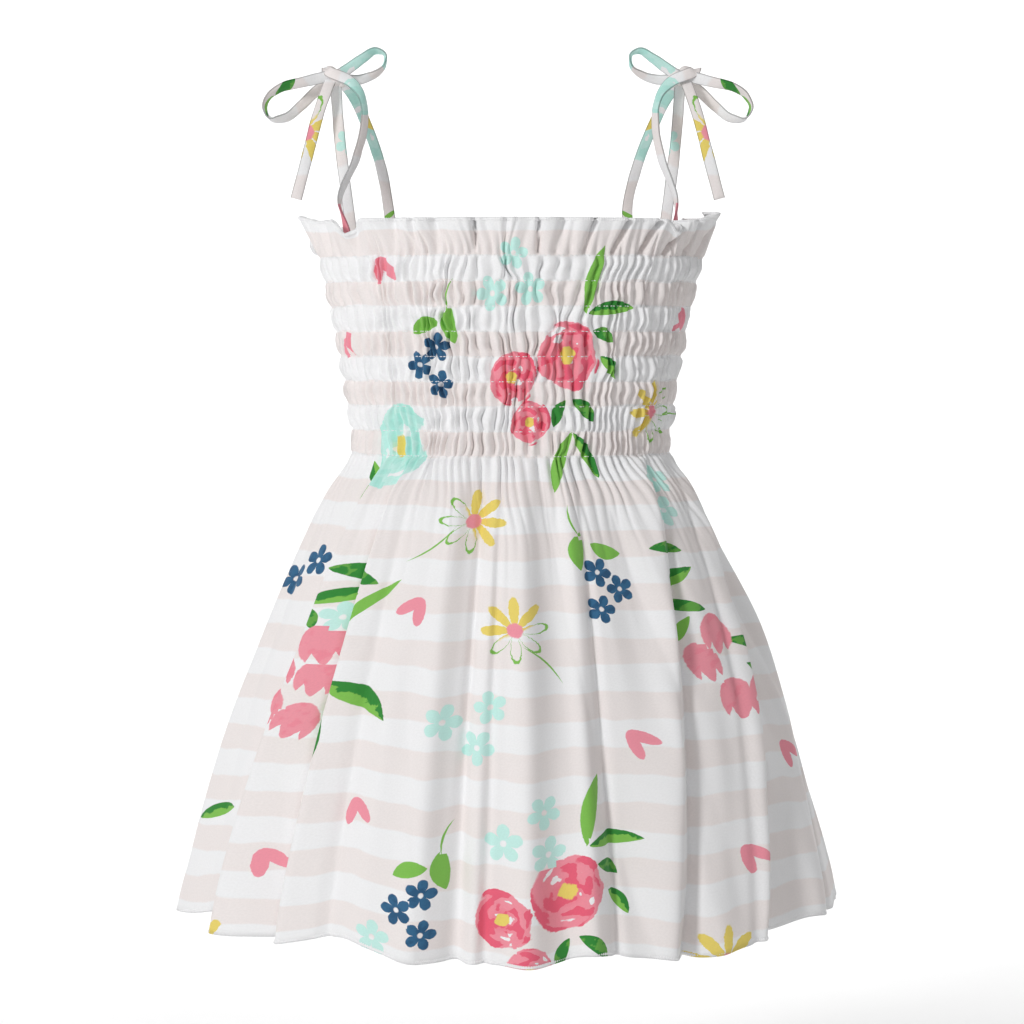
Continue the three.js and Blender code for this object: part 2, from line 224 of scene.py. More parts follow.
def bodyRings(z, place):
    turn = np.linspace(0, 2 * np.pi, ringSteps + 1)
    points = np.empty(place.shape + (2,))
    normals = np.empty_like(points)
    quarter = np.empty(len(z))
    for i, height in enumerate(z):
        a, b, power = (float(tableColumn(bodySections, k, np.array(height))) for k in (1, 2, 3))
        x = -a * np.sign(np.cos(turn)) * np.abs(np.cos(turn)) ** (2 / power)
        y = -b * np.sign(np.sin(turn)) * np.abs(np.sin(turn)) ** (2 / power)
        ring = np.stack([x, y], -1)
        walked = walkedAlong(ring)
        quarter[i] = walked[-1] / 4
        goal = (place[i] % 4) * quarter[i]
        points[i] = resample(goal, walked, ring)
        reach = quarter[i] * 0.02
        ahead, behind = ((goal + way * reach) % walked[-1] for way in (1, -1))
        along = resample(ahead, walked, ring) - resample(behind, walked, ring)
        along /= np.linalg.norm(along, axis=-1, keepdims=True)
        normals[i] = np.stack([along[:, 1], -along[:, 0]], -1)
    return points, normals, quarter


frill = {
    "wavesPerPanel": 13,
    "height": 2.6,
    "creaseGain": 1.3,
    "creases": [  # place, depth in mm, width in places, lean upwards in places
        (0.22, 3.0, 0.020, -0.02),
        (0.395, 3.5, 0.016, 0.00),
        (0.566, 2.5, 0.014, 0.00),
        (0.64, 3.0, 0.014, 0.01),
        (0.735, 3.0, 0.016, -0.01),
        (0.87, 6.0, 0.008, 0.00),
        (0.974, 2.5, 0.012, 0.01),
        (1.10, 6.0, 0.008, 0.00),
        (1.18, 2.5, 0.014, 0.01),
        (1.27, 5.0, 0.011, 0.03),
        (1.38, 7.0, 0.011, 0.05),
        (1.49, 8.0, 0.012, 0.07),
        (1.60, 8.0, 0.013, 0.08),
        (1.71, 8.0, 0.013, 0.09),
        (1.82, 7.0, 0.014, 0.10),
        (2.15, 3.0, 0.014, -0.02),
        (2.31, 4.0, 0.012, 0.02),
        (2.52, 3.0, 0.014, 0.00),
        (2.72, 4.0, 0.010, 0.01),
        (2.88, 2.5, 0.014, 0.00),
        (3.11, 4.5, 0.010, -0.01),
        (3.30, 3.0, 0.014, 0.00),
        (3.52, 4.0, 0.014, 0.02),
        (3.74, 3.5, 0.016, 0.00),
    ],
    "corners": [  # where the frill flops over: place, width in places, drop in mm, mm outwards
        (3.83, 0.075, 17, 3),
        (0.01, 0.08, -3.5, 5),
        (0.375, 0.03, 8, 3),
        (1.635, 0.03, 7, 3),
        (1.93, 0.10, -5.5, 4.5),
    ],
}


def placesApart(a, b):
    return (a - b + 2) % 4 - 2


# Large forms: the folds of the skirt, which grow downwards, and the waves and sharp creases of
# the frilled heading, which grow upwards. Returns the shift outwards and the shift along the cloth.
def largeForm(z, place):
    rise = np.clip((z - dress["firstRow"]) / (dress["topEdge"] - dress["firstRow"]), 0, 1)
    phase = np.pi * frill["wavesPerPanel"] * place + 0.9 * np.sin(5.1 * place)
    out = frill["height"] * rise * np.sin(phase) * (0.75 + 0.25 * np.sin(3.3 * place + 1))
    for crease, depth, width, lean in frill["creases"]:
        apart = placesApart(place, crease + lean * rise)
        out -= frill["creaseGain"] * depth * rise**0.4 * np.exp(-((apart / width) ** 2))
    for corner, width, drop, outwards in frill["corners"]:
        out += outwards * rise * np.exp(-((placesApart(place, corner) / width) ** 2))
    down = np.clip((waist - z) / (waist - dress["hem"]), 0, 1)
    growth = down**0.4
    along = np.zeros_like(out)
    for atWaist, atHem, height, before, after, lean, crease in skirtFolds:
        apart = placesApart(place, atWaist + (atHem - atWaist) * down**0.7)
        share = 2 / (np.exp(-apart / before) + np.exp(apart / after))
        out += height * growth * share
        along += lean * growth * share**1.5
        foot = apart + 2.4 * before if before < after else apart - 2.4 * after
        trough = np.exp(-((foot / dress["footWidth"]) ** 2))
        out -= crease * down**0.3 * (1 - np.exp(-down / 0.04)) * trough
    return out - dress["foldInset"] * growth, along


# Relief of the shirring: the cloth puffs out between two rows of elastic and is pinched on each
# row. Gathers are rounded ridges |sin| with narrow furrows. They start anew below every row of
# elastic, are uneven, and run out below the waist.
def shirring(z, gather):
    bands = (dress["firstRow"] - z) / dress["rowPitch"]
    inBodice = (z <= dress["firstRow"]) & (z >= waist)
    between = np.where(inBodice, np.abs(np.sin(np.pi * bands)) ** 0.8, 0)
    belowWaist = np.clip(waist - z, 0, None)
    aboveRows = np.clip(z - dress["firstRow"], 0, None)
    run, spread = dress["shirrRun"]
    reach = run + spread * valueNoise(np.round(gather) * 3.7, 0 * z, 2)
    fade = np.exp(-((belowWaist / reach) ** 1.4)) * (0.1 + 0.9 * np.exp(-aboveRows / 8))
    clipped = np.clip(bands, -0.5, dress["rows"] - 0.5)
    over = np.floor(clipped - 0.5)
    blend = np.clip((clipped - 1 - over) / 0.3 + 0.5, 0, 1)
    blend = blend**2 * (3 - 2 * blend)

    def ridges(band):
        own = gather + 0.55 * valueNoise(gather * 0.17, band * 2.7 + 9, 3)
        uneven = 0.8 + 0.6 * valueNoise(np.round(own) * 7.31, band * 3.3 + 9, 1)
        return (np.abs(np.sin(np.pi * own)) ** 0.6 - 0.64) * uneven

    relief = ridges(over) * (1 - blend) + ridges(over + 1) * blend
    height = np.where(inBodice, 0.5 + 0.5 * between, 0.85) * dress["gatherHeight"]
    crumple = valueNoise(gather * 1.1, z / 3.6, 3) * (0.3 + 0.7 * between) * inBodice
    puff = dress["puffHeight"] * between * (1 + 0.8 * valueNoise(gather * 0.31, bands * 0.8, 5))
    return puff + relief * height * fade + dress["crumple"] * crumple


# Soft creases of worn cotton on the skirt
def softCreases(z, place):
    down = np.clip((waist - z) / dress["softFrom"], 0, 1)
    long = valueNoise(place * 13 + 0.006 * z, z / 150, 4)
    short = valueNoise(place * 33, z / 48, 5)
    folded = np.abs(valueNoise(place * 9 + 0.004 * z, z / 260, 6)) - 0.35
    a, b, c = dress["softCreases"]
    return down * (a * long + b * folded + c * short)


innerStep = 3  # the inner face has one point for this many of the outer face


# Lowest value within one cell of the inner grid, so that the plainer inside never meets a furrow
def under(relief):
    for axis in (0, 1):
        size = relief.shape[axis]
        shifted = [np.take(relief, np.clip(np.arange(size) + k, 0, size - 1), axis)
                   for k in range(-innerStep, innerStep + 1)]
        relief = np.min(shifted, axis=0)
    return relief


# One panel, from the place of its left edge. Columns follow the gathers, so that each furrow lies
# on a column, and rows are closest on the elastic.
def panelSurface(start):
    gathers = dress["gathers"]
    columns = np.arange(gathers * dress["stepsPerGather"] + 1)
    gather = columns / dress["stepsPerGather"]
    heading = np.linspace(dress["topEdge"], dress["firstRow"], 15)[:-1]
    share = np.linspace(0, 1, 13)[:-1]
    eased = share - 0.09 * np.sin(2 * np.pi * share)  # rows crowd towards the elastic
    bodice = dress["firstRow"] - dress["rowPitch"] * (
        np.arange(dress["rows"] - 1)[:, None] + eased
    ).ravel()
    steps = np.linspace(0, 1, 101)
    skirt = waist + (dress["hem"] - waist) * (0.62 * steps + 0.38 * steps**2)
    z = np.concatenate([heading, bodice, skirt])
    number = np.arange(gathers)
    spacing = 1 + 0.45 * valueNoise(number * 0.9 + 13 * start, 0 * number, 6)
    edges = np.concatenate([[0], np.cumsum(spacing)])
    even = np.interp(gather, np.arange(gathers + 1), edges / edges[-1])
    zGrid, gatherGrid = np.meshgrid(z, gather, indexing="ij")
    inner = np.sin(np.pi * even) ** 0.5
    wander = 0.012 * valueNoise(gatherGrid * 0.35 + 5 * start, zGrid / 19, 7) * inner
    rows = np.clip((dress["firstRow"] - zGrid) / dress["rowPitch"], 0, dress["rows"] - 1)
    pinch = np.sin(np.pi * rows) ** 2
    wander += dress["slant"] / gathers * valueNoise(gatherGrid * 0.6, rows * 1.0, 3) * pinch
    settle = np.clip((waist - zGrid) / dress["evenBelow"], 0, 1)
    evenGrid = even + (gather / gathers - even) * settle
    place = start + 2 * (evenGrid + wander * (1 - settle))
    trim = dress["seamGap"] / 2 / bodyRings(z, place)[2][:, None]
    place = start + trim + (place - start) * (2 - 2 * trim) / 2
    body, normals, quarter = bodyRings(z, place)
    out, along = largeForm(zGrid, place)
    relief = shirring(zGrid, gatherGrid) + softCreases(zGrid, place)
    tangents = np.stack([-normals[..., 1], normals[..., 0]], -1)
    dip = tableColumn(bodySections, 4, zGrid) * np.sin(np.pi / 2 * place) ** 4
    skirtShare = np.clip((waist - zGrid) / (waist - dress["hem"]), 0, 1)
    dip = dip + dress["foldDip"] * out * skirtShare
    seam = np.exp(-np.minimum(gatherGrid, gathers - gatherGrid) * 3)  # pulled in at the side seams
    along = along * (1 - seam)
    rise = np.clip((zGrid - dress["firstRow"]) / (dress["topEdge"] - dress["firstRow"]), 0, 1)
    for middle, width, drop in hemWaves:
        dip = dip + drop * skirtShare**2.5 * np.exp(-((placesApart(place, middle) / width) ** 2))
    for corner, width, drop, outwards in frill["corners"]:
        dip = dip + drop * rise**1.6 * np.exp(-((placesApart(place, corner) / width) ** 2))

    def lay(shift):
        flat = body + normals * (shift - 0.9 * seam)[..., None] + tangents * along[..., None]
        return np.dstack([flat, zGrid - dip])

    outer = lay(out + relief + dress["wall"] / 2)
    inside = lay(out + under(relief) - dress["wall"] / 2)
    slope = np.gradient(body[:, len(columns) // 2, 1], z)
    path = np.concatenate([[0], np.cumsum(np.hypot(np.diff(z), slope[1:] * np.diff(z)))])
    down = np.repeat(path[:, None], len(columns), 1)
    rowPath = np.interp(-np.array([dress["firstRow"], waist]), -z, path)
    bands = np.where(
        zGrid > waist,
        (dress["firstRow"] - zGrid) / dress["rowPitch"],
        dress["rows"] - 1 + (down - rowPath[1]) / dress["stripe"],
    )
    return {
        "outer": outer,
        "inside": inside,
        "place": place,
        "down": down,
        "quarter": np.repeat(quarter[:, None], len(columns), 1),
        "bands": bands,
        "z": z,
        "gather": gather,
    }


# Flowers and leaves, each in millimetres round the middle of its group, x to the right and y up.
# Blooms come first: kind, tint, x, y, radius, turn in degrees, height as a share of the radius if
# it is not round. Then leaves: tint, x, y, half length, half width, turn.
bloomKinds = {"heart": 0, "fivePetal": 1, "peony": 2, "daisy": 3, "tulip": 4}
leafTints = {"plain": 0, "brushed": 1, "dark": 2, "stem": 3}
motifs = {
    "heart": ([("heart", 0, 0, 0, 8.6, 0)], []),
    "navySprig": (
        [("fivePetal", 0, 0, 0, 8.3, 10), ("fivePetal", 0, -11.5, -9.5, 8, 40),
         ("fivePetal", 0, 1, -20, 8, 75)],
        [("plain", -6.5, 11.5, 9, 4.2, 20), ("plain", 9, 12, 10.5, 4.8, 98),
         ("stem", 9.5, 28, 10, 4, 76)],
    ),
    "navyFlower": ([("fivePetal", 0, 0, 0, 9.5, 20)], []),
    "aquaFlower": ([("fivePetal", 1, 0, 0, 9, 20)], []),
    "aquaTrio": (
        [("fivePetal", 1, 0, 0, 10, 0), ("fivePetal", 1, 24, 8, 9, 35),
         ("fivePetal", 1, 19, -13, 9.5, 60)],
        [],
    ),
    "aquaRose": (
        [("peony", 1, 0, 0, 26, 90, 0.7)],
        [("brushed", -18, -16, 8, 2.8, 115), ("brushed", -12, -30, 9, 3, 60)],
    ),
    "peonies": (
        [("peony", 0, 0, 0, 20.5, 20), ("peony", 0, -33, -12, 15.5, 110),
         ("peony", 0, -21, -36, 12.5, 30)],
        [("plain", 13.5, 41, 19, 4.2, 76), ("brushed", 26, 25, 15, 3.8, 6),
         ("dark", 22, 11, 7, 3.6, -25), ("brushed", 27, -6, 8, 3.6, -50),
         ("dark", -4, -31, 8, 3.6, 66), ("dark", 12, -29, 9, 3.8, -42),
         ("plain", -3, -58, 19, 3.6, 66), ("brushed", 14, -54, 15, 3.4, -60)],
    ),
    "daisy": ([("daisy", 0, 0, 0, 18, 0)], [("stem", 6, -23, 16, 3.2, -70)]),
    "tulips": (
        [("tulip", 0, 1, -1, 12.5, 10), ("tulip", 0, 2, -19, 11.5, -8),
         ("tulip", 0, -14, -16, 10, 4), ("tulip", 0, -17, -36, 12, -14),
         ("tulip", 0, -2, -43, 11.5, -22), ("tulip", 0, -31, -38, 10, 4)],
        [("dark", 9, 40, 15, 4.6, -14), ("brushed", 2, 27, 16, 4.0, 14),
         ("plain", 20, 22, 20, 2.8, 55), ("dark", -8, 15, 7, 3.6, -55),
         ("brushed", 30, -27, 19, 5.2, -32), ("brushed", 16, -44, 17, 4.0, -76)],
    ),
    "tulipTrio": (
        [("tulip", 0, 2.5, 4, 12.5, -6), ("tulip", 0, -9, -11, 12, 8),
         ("tulip", 0, 2, -32, 12.5, -4), ("tulip", 0, 15, -28, 9, -14)],
        [("dark", -11, 54, 11.5, 3.6, -6), ("brushed", -10, 36, 13.5, 3.8, 33),
         ("dark", -10, 21, 11.5, 3.4, -6), ("plain", -13, 9, 8, 2, 60),
         ("dark", 20, -2, 12, 3.6, -20), ("dark", 20, -18, 9.5, 3, -42)],
    ),
    "leaf": ([], [("brushed", 0, 0, 14, 4, 10)]),
    "hemDaisy": ([("daisy", 0, 0, -7, 18, 0)], []),
}

# Where the groups lie: name, picture column and row, turn in degrees, 1 or -1 for mirrored
frontPrint = [
    ("heart", 382, 268, 190, 1),
    ("heart", 346, 345, 185, 1),
    ("heart", 678, 320, 175, 1),
    ("aquaTrio", 492, 292, 40, 1),
    ("navySprig", 436, 347, 0, 1),
    ("peonies", 567, 355, 0, 1),
    ("aquaRose", 402, 446, 0, 1),
    ("daisy", 652, 412, 70, 1),
    ("daisy", 474, 520, -70, 1),
    ("daisy", 515, 633, 25, 1),
    ("navySprig", 598, 573, 0, -1),
    ("aquaFlower", 655, 480, 0, 1),
    ("aquaFlower", 662, 510, 40, 1),
    ("aquaFlower", 342, 618, 0, 1),
    ("navyFlower", 318, 560, 0, 1),
    ("navyFlower", 297, 578, 40, 1),
    ("heart", 415, 608, 151, 1),
    ("tulips", 322, 645, 0, 1),
    ("tulipTrio", 714, 642, 0, 1),
    ("aquaTrio", 443, 724, 0, 1),
    ("heart", 639, 743, 225, 1),
    ("heart", 358, 806, 196, 1),
    ("aquaTrio", 503, 845, 20, 1),
    ("heart", 788, 752, 207, 1),
    ("heart", 752, 852, 212, 1),
    ("heart", 268, 857, 208, 1),
    ("navySprig", 420, 893, 0, 1),
    ("peonies", 568, 893, 0, 1),
    ("hemDaisy", 722, 948, 10, 1),
    ("hemDaisy", 212, 930, -10, 1),
    ("aquaFlower", 372, 938, 0, 1),
    ("leaf", 219, 813, 5, 1),
    ("leaf", 205, 832, -30, 1),
]
backPrint = [
    ("navySprig", 585, 300, 0, 1),
    ("heart", 640, 268, 190, 1),
    ("aquaTrio", 560, 420, 0, 1),
    ("peonies", 440, 330, 0, 1),
    ("heart", 372, 330, 170, 1),
    ("daisy", 380, 420, 20, 1),
    ("aquaRose", 650, 350, 0, 1),
    ("tulips", 640, 520, 0, 1),
    ("daisy", 548, 520, -60, 1),
    ("heart", 500, 590, 210, 1),
    ("navySprig", 400, 560, 0, 1),
    ("tulips", 330, 700, 0, -1),
    ("aquaTrio", 540, 700, 10, 1),
    ("peonies", 450, 770, 0, 1),
    ("heart", 700, 700, 200, 1),
    ("daisy", 610, 800, 20, 1),
    ("navySprig", 690, 870, 0, 1),
    ("heart", 565, 890, 160, 1),
    ("aquaTrio", 255, 800, 0, 1),
    ("heart", 310, 880, 205, 1),
    ("aquaRose", 770, 800, 0, 1),
    ("heart", 420, 925, 185, 1),
    ("daisy", 510, 940, 0, 1),
    ("heart", 240, 690, 215, 1),
]


# Lists each bloom and leaf of a print table with its own place on the cloth
def layOut(table, anchorOf):
    blooms, leaves = [], []
    for name, column, row, turn, mirror in table:
        anchor = anchorOf(column, row)
        c, s = np.cos(np.radians(turn)), np.sin(np.radians(turn))
        for kind, tint, x, y, radius, ownTurn, *tall in motifs[name][0]:
            x *= mirror
            blooms.append((*anchor, c * x - s * y, s * x + c * y, radius,
                           radius * (tall[0] if tall else 1), np.radians(turn + mirror * ownTurn),
                           bloomKinds[kind], tint))
        for tint, x, y, halfLength, halfWidth, ownTurn in motifs[name][1]:
            x *= mirror
            angle = ownTurn if mirror > 0 else 180 - ownTurn
            leaves.append((*anchor, c * x - s * y, s * x + c * y, halfLength, halfWidth,
                           np.radians(turn + angle), 0, leafTints[tint]))
    return np.array(blooms), np.array(leaves)


# Position of cloth points in the frame of one motif or, given arrays, of each point's own one:
# moved to its middle, turned back by its angle and divided by its half length and half width
def inMotif(place, down, quarter, m):
    x = (place - m[..., 0]) * quarter / m[..., 2] - m[..., 3]
    y = m[..., 1] - down - m[..., 4]
    c, s = np.cos(m[..., 7]), np.sin(m[..., 7])
    return (c * x + s * y) / m[..., 5], (c * y - s * x) / m[..., 6]


# Print coordinates: every face takes the nearest motif and is mapped in that motif's own frame,
# at a pitch times its kind and tint, so that the material draws each kind once. Far faces get none.
cellPitch = 6
motifReach = 2.9  # how far a motif's own coordinates run, under half the pitch
noMotif = -2 * cellPitch
leafBend = 1.5  # mm that a leaf's bent middle line may leave its box
leafMargin = 5  # mm round a leaf whose faces may take it
bloomMargin = 1.5  # radii round a bloom whose faces may take it


def printCoordinates(cloth, faceOfCorner, vertexOfCorner, table, isLeaf):
    faceCount = faceOfCorner[-1] + 1
    corners = np.bincount(faceOfCorner, minlength=faceCount)
    middle = [np.bincount(faceOfCorner, v[vertexOfCorner]) / corners for v in cloth]
    best = np.full(faceCount, np.inf)
    chosen = np.full(faceCount, -1)
    for k, m in enumerate(table):
        x, y = inMotif(*middle, m)
        if isLeaf:  # millimetres outside the leaf's box
            away = np.hypot(
                np.clip(np.abs(x) - 1, 0, None) * m[5],
                np.clip(np.abs(y) * m[6] - m[6] - leafBend, 0, None),
            )
            away = np.where(away < leafMargin, away + 0.02 * np.abs(y) * m[6], np.inf)
        else:
            away = np.where(np.hypot(x, y) < bloomMargin, np.hypot(x, y), np.inf)
        chosen = np.where(away < best, k, chosen)
        best = np.minimum(best, away)
    mine = chosen[faceOfCorner]
    x, y = inMotif(*(v[vertexOfCorner] for v in cloth), table[mine])
    u = np.clip(x, -motifReach, motifReach) + cellPitch * table[mine, 8]
    v = np.clip(y, -motifReach, motifReach) + cellPitch * table[mine, 9]
    u = np.where(mine < 0, noMotif, u)
    return np.stack([u, v], -1)


# A mesh object in metres from points in millimetres, with its UV maps given at face corners
def makePiece(name, points, faces, material, uvMaps=None):
    mesh = bpy.data.meshes.new(name)
    mesh.from_pydata((points * millimetre).tolist(), [], faces)
    for mapName, values in (uvMaps or {}).items():
        layer = mesh.uv_layers.new(name=mapName)
        layer.data.foreach_set("uv", values.astype(np.float32).ravel())
    mesh.polygons.foreach_set("use_smooth", np.ones(len(mesh.polygons), bool))
    mesh.materials.append(material)
    mesh.validate()
    piece = bpy.data.objects.new(name, mesh)
    bpy.context.scene.collection.objects.link(piece)
    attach(piece, "root")
    return piece


# sRGB hex to linear RGBA
def linear(hexColour):
    values = np.array([int(hexColour[i : i + 2], 16) / 255 for i in (1, 3, 5)])
    values = np.where(values <= 0.04045, values / 12.92, ((values + 0.055) / 1.055) ** 2.4)
    return (*values.tolist(), 1.0)


# Adds a node. inputs are sockets to link or values to set, by index; the rest are its settings
def put(tree, kind, inputs=(), out=0, **settings):
    node = tree.nodes.new("ShaderNode" + kind)
    for key, value in settings.items():
        setattr(node, key, value)
    pairs = inputs.items() if isinstance(inputs, dict) else enumerate(inputs)
    for key, value in pairs:
        if isinstance(value, bpy.types.NodeSocket):
            tree.links.new(value, node.inputs[key])
        elif value is not None:
            node.inputs[key].default_value = value
    return node.outputs[out]


def newMaterial(name):
    material = bpy.data.materials.new(name)
    material.use_nodes = True
    return material, material.node_tree, material.node_tree.nodes["Principled BSDF"]


cotton = {
    "white": "#FBFBFC",
    "blush": "#F7F0EE",
    "navy": "#306890",
    "navyDeep": "#26587F",
    "aqua": "#CDF6EE",
    "aquaDeep": "#BDF1E7",
    "heartPink": "#F99BAB",
    "peonyPale": "#F997A6",
    "peonyDeep": "#F2657F",
    "tulip": "#F79CAA",
    "yellow": "#F3DC70",
    "greenPlain": "#84C653",
    "greenLight": "#7FBF52",
    "greenDark": "#2F8C34",
    "roughness": 0.86,
    "sheen": 0.12,
    "weaveSpacing": 0.55,  # mm; the real yarns are 0.25 mm apart, too fine to show
    "brushRoughness": 0.04,  # how ragged the painted edges are, as a share of a motif
}


# Short names for the commonest nodes of one tree: arithmetic, a clamped ramp, a blend of two
# colours, one axis of a vector, noise on a plane, vector arithmetic and the length of (x, y)
def shorthand(tree):
    def calc(operation, *values):
        return put(tree, "Math", values, operation=operation)

    def ramp(value, *limits, **settings):
        return put(tree, "MapRange", [value, *limits], **settings)

    def blend(share, first, second, kind="MIX"):
        return put(tree, "Mix", {0: share, 6: first, 7: second}, out=2, data_type="RGBA",
                   blend_type=kind)

    def axis(vector, number):
        return put(tree, "SeparateXYZ", [vector], out=number)

    def noise(at, scale, detail, roughness=None, out=0):
        return put(tree, "TexNoise", {0: at, 2: scale, 3: detail, 4: roughness}, out=out,
                   noise_dimensions="2D")

    def vector(operation, first, second=None, scale=None):
        return put(tree, "VectorMath", {0: first, 1: second, 3: scale}, operation=operation)

    def length(x, y):
        return put(tree, "VectorMath", [put(tree, "CombineXYZ", [x, y])], out=1,
                   operation="LENGTH")

    return calc, ramp, blend, axis, noise, vector, length


# Cotton poplin, plain woven and printed: matt, with a faint nap, a fine even weave and the
# slightly ragged edges and washes of a painted print. Stripes: floor of the band number, odd or
# even. Five petals: r < 0.34 + 0.66 |cos 2.5a|^0.55. Daisy: r < |sin 4a|^0.8, filled on the upper
# fan and outlined on the lower. Heart: two leaning ellipses that meet at the top. Tulip: an oval
# with three points. Peony: a ragged disc with noise washes in r and a. Leaf: |y| < (1 - x^2)^0.8
# round a bent middle line.
# On a tie, a grey line of painted shade darkens both folded edges.
def printedCotton(name, paintedEdgeShadeSpan=None):
    material, tree, shader = newMaterial(name)
    calc, ramp, blend, axis, noise, vector, length = shorthand(tree)
    hue = {key: linear(value) for key, value in cotton.items() if isinstance(value, str)}
    cloth = put(tree, "UVMap", uv_map="cloth")
    millimetres = put(tree, "UVMap", uv_map="weave")

    # stripes with soft, slightly wavy edges
    waver = noise(put(tree, "Mapping", {0: cloth, 3: (0.05, 0.7, 1)}), 1.0, 2.5)
    waver = calc("MULTIPLY", calc("SUBTRACT", waver, 0.5), 0.3)
    band = calc("ADD", calc("ADD", axis(cloth, 1), waver), 1.5)
    stripe = ramp(calc("PINGPONG", band, 1.0), 0.45, 0.55, interpolation_type="SMOOTHSTEP")
    colour = blend(stripe, hue["white"], hue["blush"])

    # washes of the print and the raggedness of its edges, in cloth millimetres
    wash = noise(millimetres, 0.16, 3.0, 0.5)
    ragged = vector("SUBTRACT", noise(millimetres, 0.45, 3.0, out=1), (0.5, 0.5, 0.5))
    ragged = vector("SCALE", ragged, scale=2 * cotton["brushRoughness"])

    # leaf layer: tint, and the place in the leaf
    spot = put(tree, "UVMap", uv_map="leaf")
    tint = calc("ROUND", calc("DIVIDE", axis(spot, 1), cellPitch))
    isDark, isBrushed, isStem = (calc("COMPARE", tint, leafTints[key], 0.5)
                                 for key in ("dark", "brushed", "stem"))
    local = vector("ADD", spot, ragged)
    x = axis(local, 0)
    y = calc("MULTIPLY_ADD", tint, -cellPitch, axis(local, 1))
    squared = calc("MULTIPLY", x, x)
    bend = ramp(isStem, 0, 1, 0.45, 0.7)
    y = calc("SUBTRACT", calc("MULTIPLY_ADD", squared, bend, y), calc("MULTIPLY", bend, 0.4))
    width = calc("POWER", calc("MAXIMUM", calc("SUBTRACT", 1.0, squared), 0.0), 0.8)
    width = calc("MULTIPLY", width, ramp(isStem, 0, 1, 1, 0.17))
    leaf = ramp(calc("SUBTRACT", width, calc("ABSOLUTE", y)), 0.0, 0.06)
    brushed = ramp(calc("MULTIPLY_ADD", wash, 1.6, y), 0.72, 0.84)
    dark = calc("MAXIMUM", calc("MULTIPLY", brushed, isBrushed), isDark)
    green = blend(dark, hue["greenPlain"], hue["greenDark"])
    lighter = calc("MULTIPLY", ramp(wash, 0.5, 0.56, 0, 0.55), isDark)
    colour = blend(leaf, colour, blend(lighter, green, hue["greenLight"]))

    # bloom layer: kind, tint, and the place in the motif
    spot = put(tree, "UVMap", uv_map="bloom")
    u, v = axis(spot, 0), axis(spot, 1)
    kind, tint = (calc("ROUND", calc("DIVIDE", value, cellPitch)) for value in (u, v))
    x = calc("MULTIPLY_ADD", kind, -cellPitch, u)
    y = calc("MULTIPLY_ADD", tint, -cellPitch, v)
    local = vector("ADD", put(tree, "CombineXYZ", [x, y]), ragged)
    x, y = axis(local, 0), axis(local, 1)
    radius = length(x, y)
    angle = calc("ARCTAN2", y, x)

    def paint(base, tintColour, mask, kindName):
        isKind = calc("COMPARE", kind, bloomKinds[kindName], 0.5)
        return blend(calc("MULTIPLY", mask, isKind), base, tintColour)

    # five petals and a white eye
    lobes = calc("ABSOLUTE", calc("COSINE", calc("MULTIPLY", angle, 2.5)))
    edge = calc("MULTIPLY_ADD", calc("POWER", lobes, 0.55), 0.66, 0.34)
    petal = ramp(calc("SUBTRACT", edge, radius), 0.0, 0.05)
    petal = calc("MULTIPLY", petal, ramp(radius, 0.13, 0.19))
    blue = blend(ramp(wash, 0.45, 0.6), hue["navy"], hue["navyDeep"])
    colour = paint(colour, blend(tint, blue, hue["aqua"]), petal, "fivePetal")

    # heart
    across = calc("ADD", calc("ABSOLUTE", x), -0.36)
    along = calc("ADD", y, -0.06)
    first = calc("MULTIPLY_ADD", across, 0.90, calc("MULTIPLY", along, -0.43))
    second = calc("MULTIPLY_ADD", along, 0.90, calc("MULTIPLY", across, 0.43))
    lobe = length(calc("DIVIDE", first, 0.36), calc("DIVIDE", second, 0.9))
    colour = paint(colour, hue["heartPink"], ramp(lobe, 1.0, 0.95), "heart")

    # daisy: filled petals on the upper fan, drawn ones below and a pink middle
    rays = calc("POWER", calc("ABSOLUTE", calc("SINE", calc("MULTIPLY", angle, 4.0))), 0.8)
    ray = ramp(calc("SUBTRACT", rays, radius), 0.0, 0.04)
    ray = calc("MULTIPLY", ray, ramp(y, -0.12, -0.06))
    colour = paint(colour, hue["yellow"], ray, "daisy")
    outline = calc("ABSOLUTE", calc("SUBTRACT", calc("MULTIPLY", rays, 0.93), radius))
    outline = calc("MULTIPLY", ramp(outline, 0.06, 0.035), ramp(y, -0.04, -0.1))
    colour = paint(colour, hue["greenPlain"], outline, "daisy")
    colour = paint(colour, hue["heartPink"], ramp(radius, 0.24, 0.20), "daisy")

    # tulip: an oval whose lower edge is cut in three points
    oval = length(calc("DIVIDE", x, 0.76), calc("DIVIDE", calc("ADD", y, -0.05), 0.98))
    points = calc("ABSOLUTE", calc("COSINE", calc("MULTIPLY", x, 4.6)))
    cut = calc("SUBTRACT", y, calc("MULTIPLY_ADD", points, -0.55, -0.28))
    bud = calc("MULTIPLY", ramp(oval, 1.0, 0.95), ramp(cut, 0.0, 0.04))
    rose = blend(ramp(wash, 0.54, 0.62, 0, 0.25), hue["tulip"], hue["peonyDeep"])
    colour = paint(colour, rose, bud, "tulip")

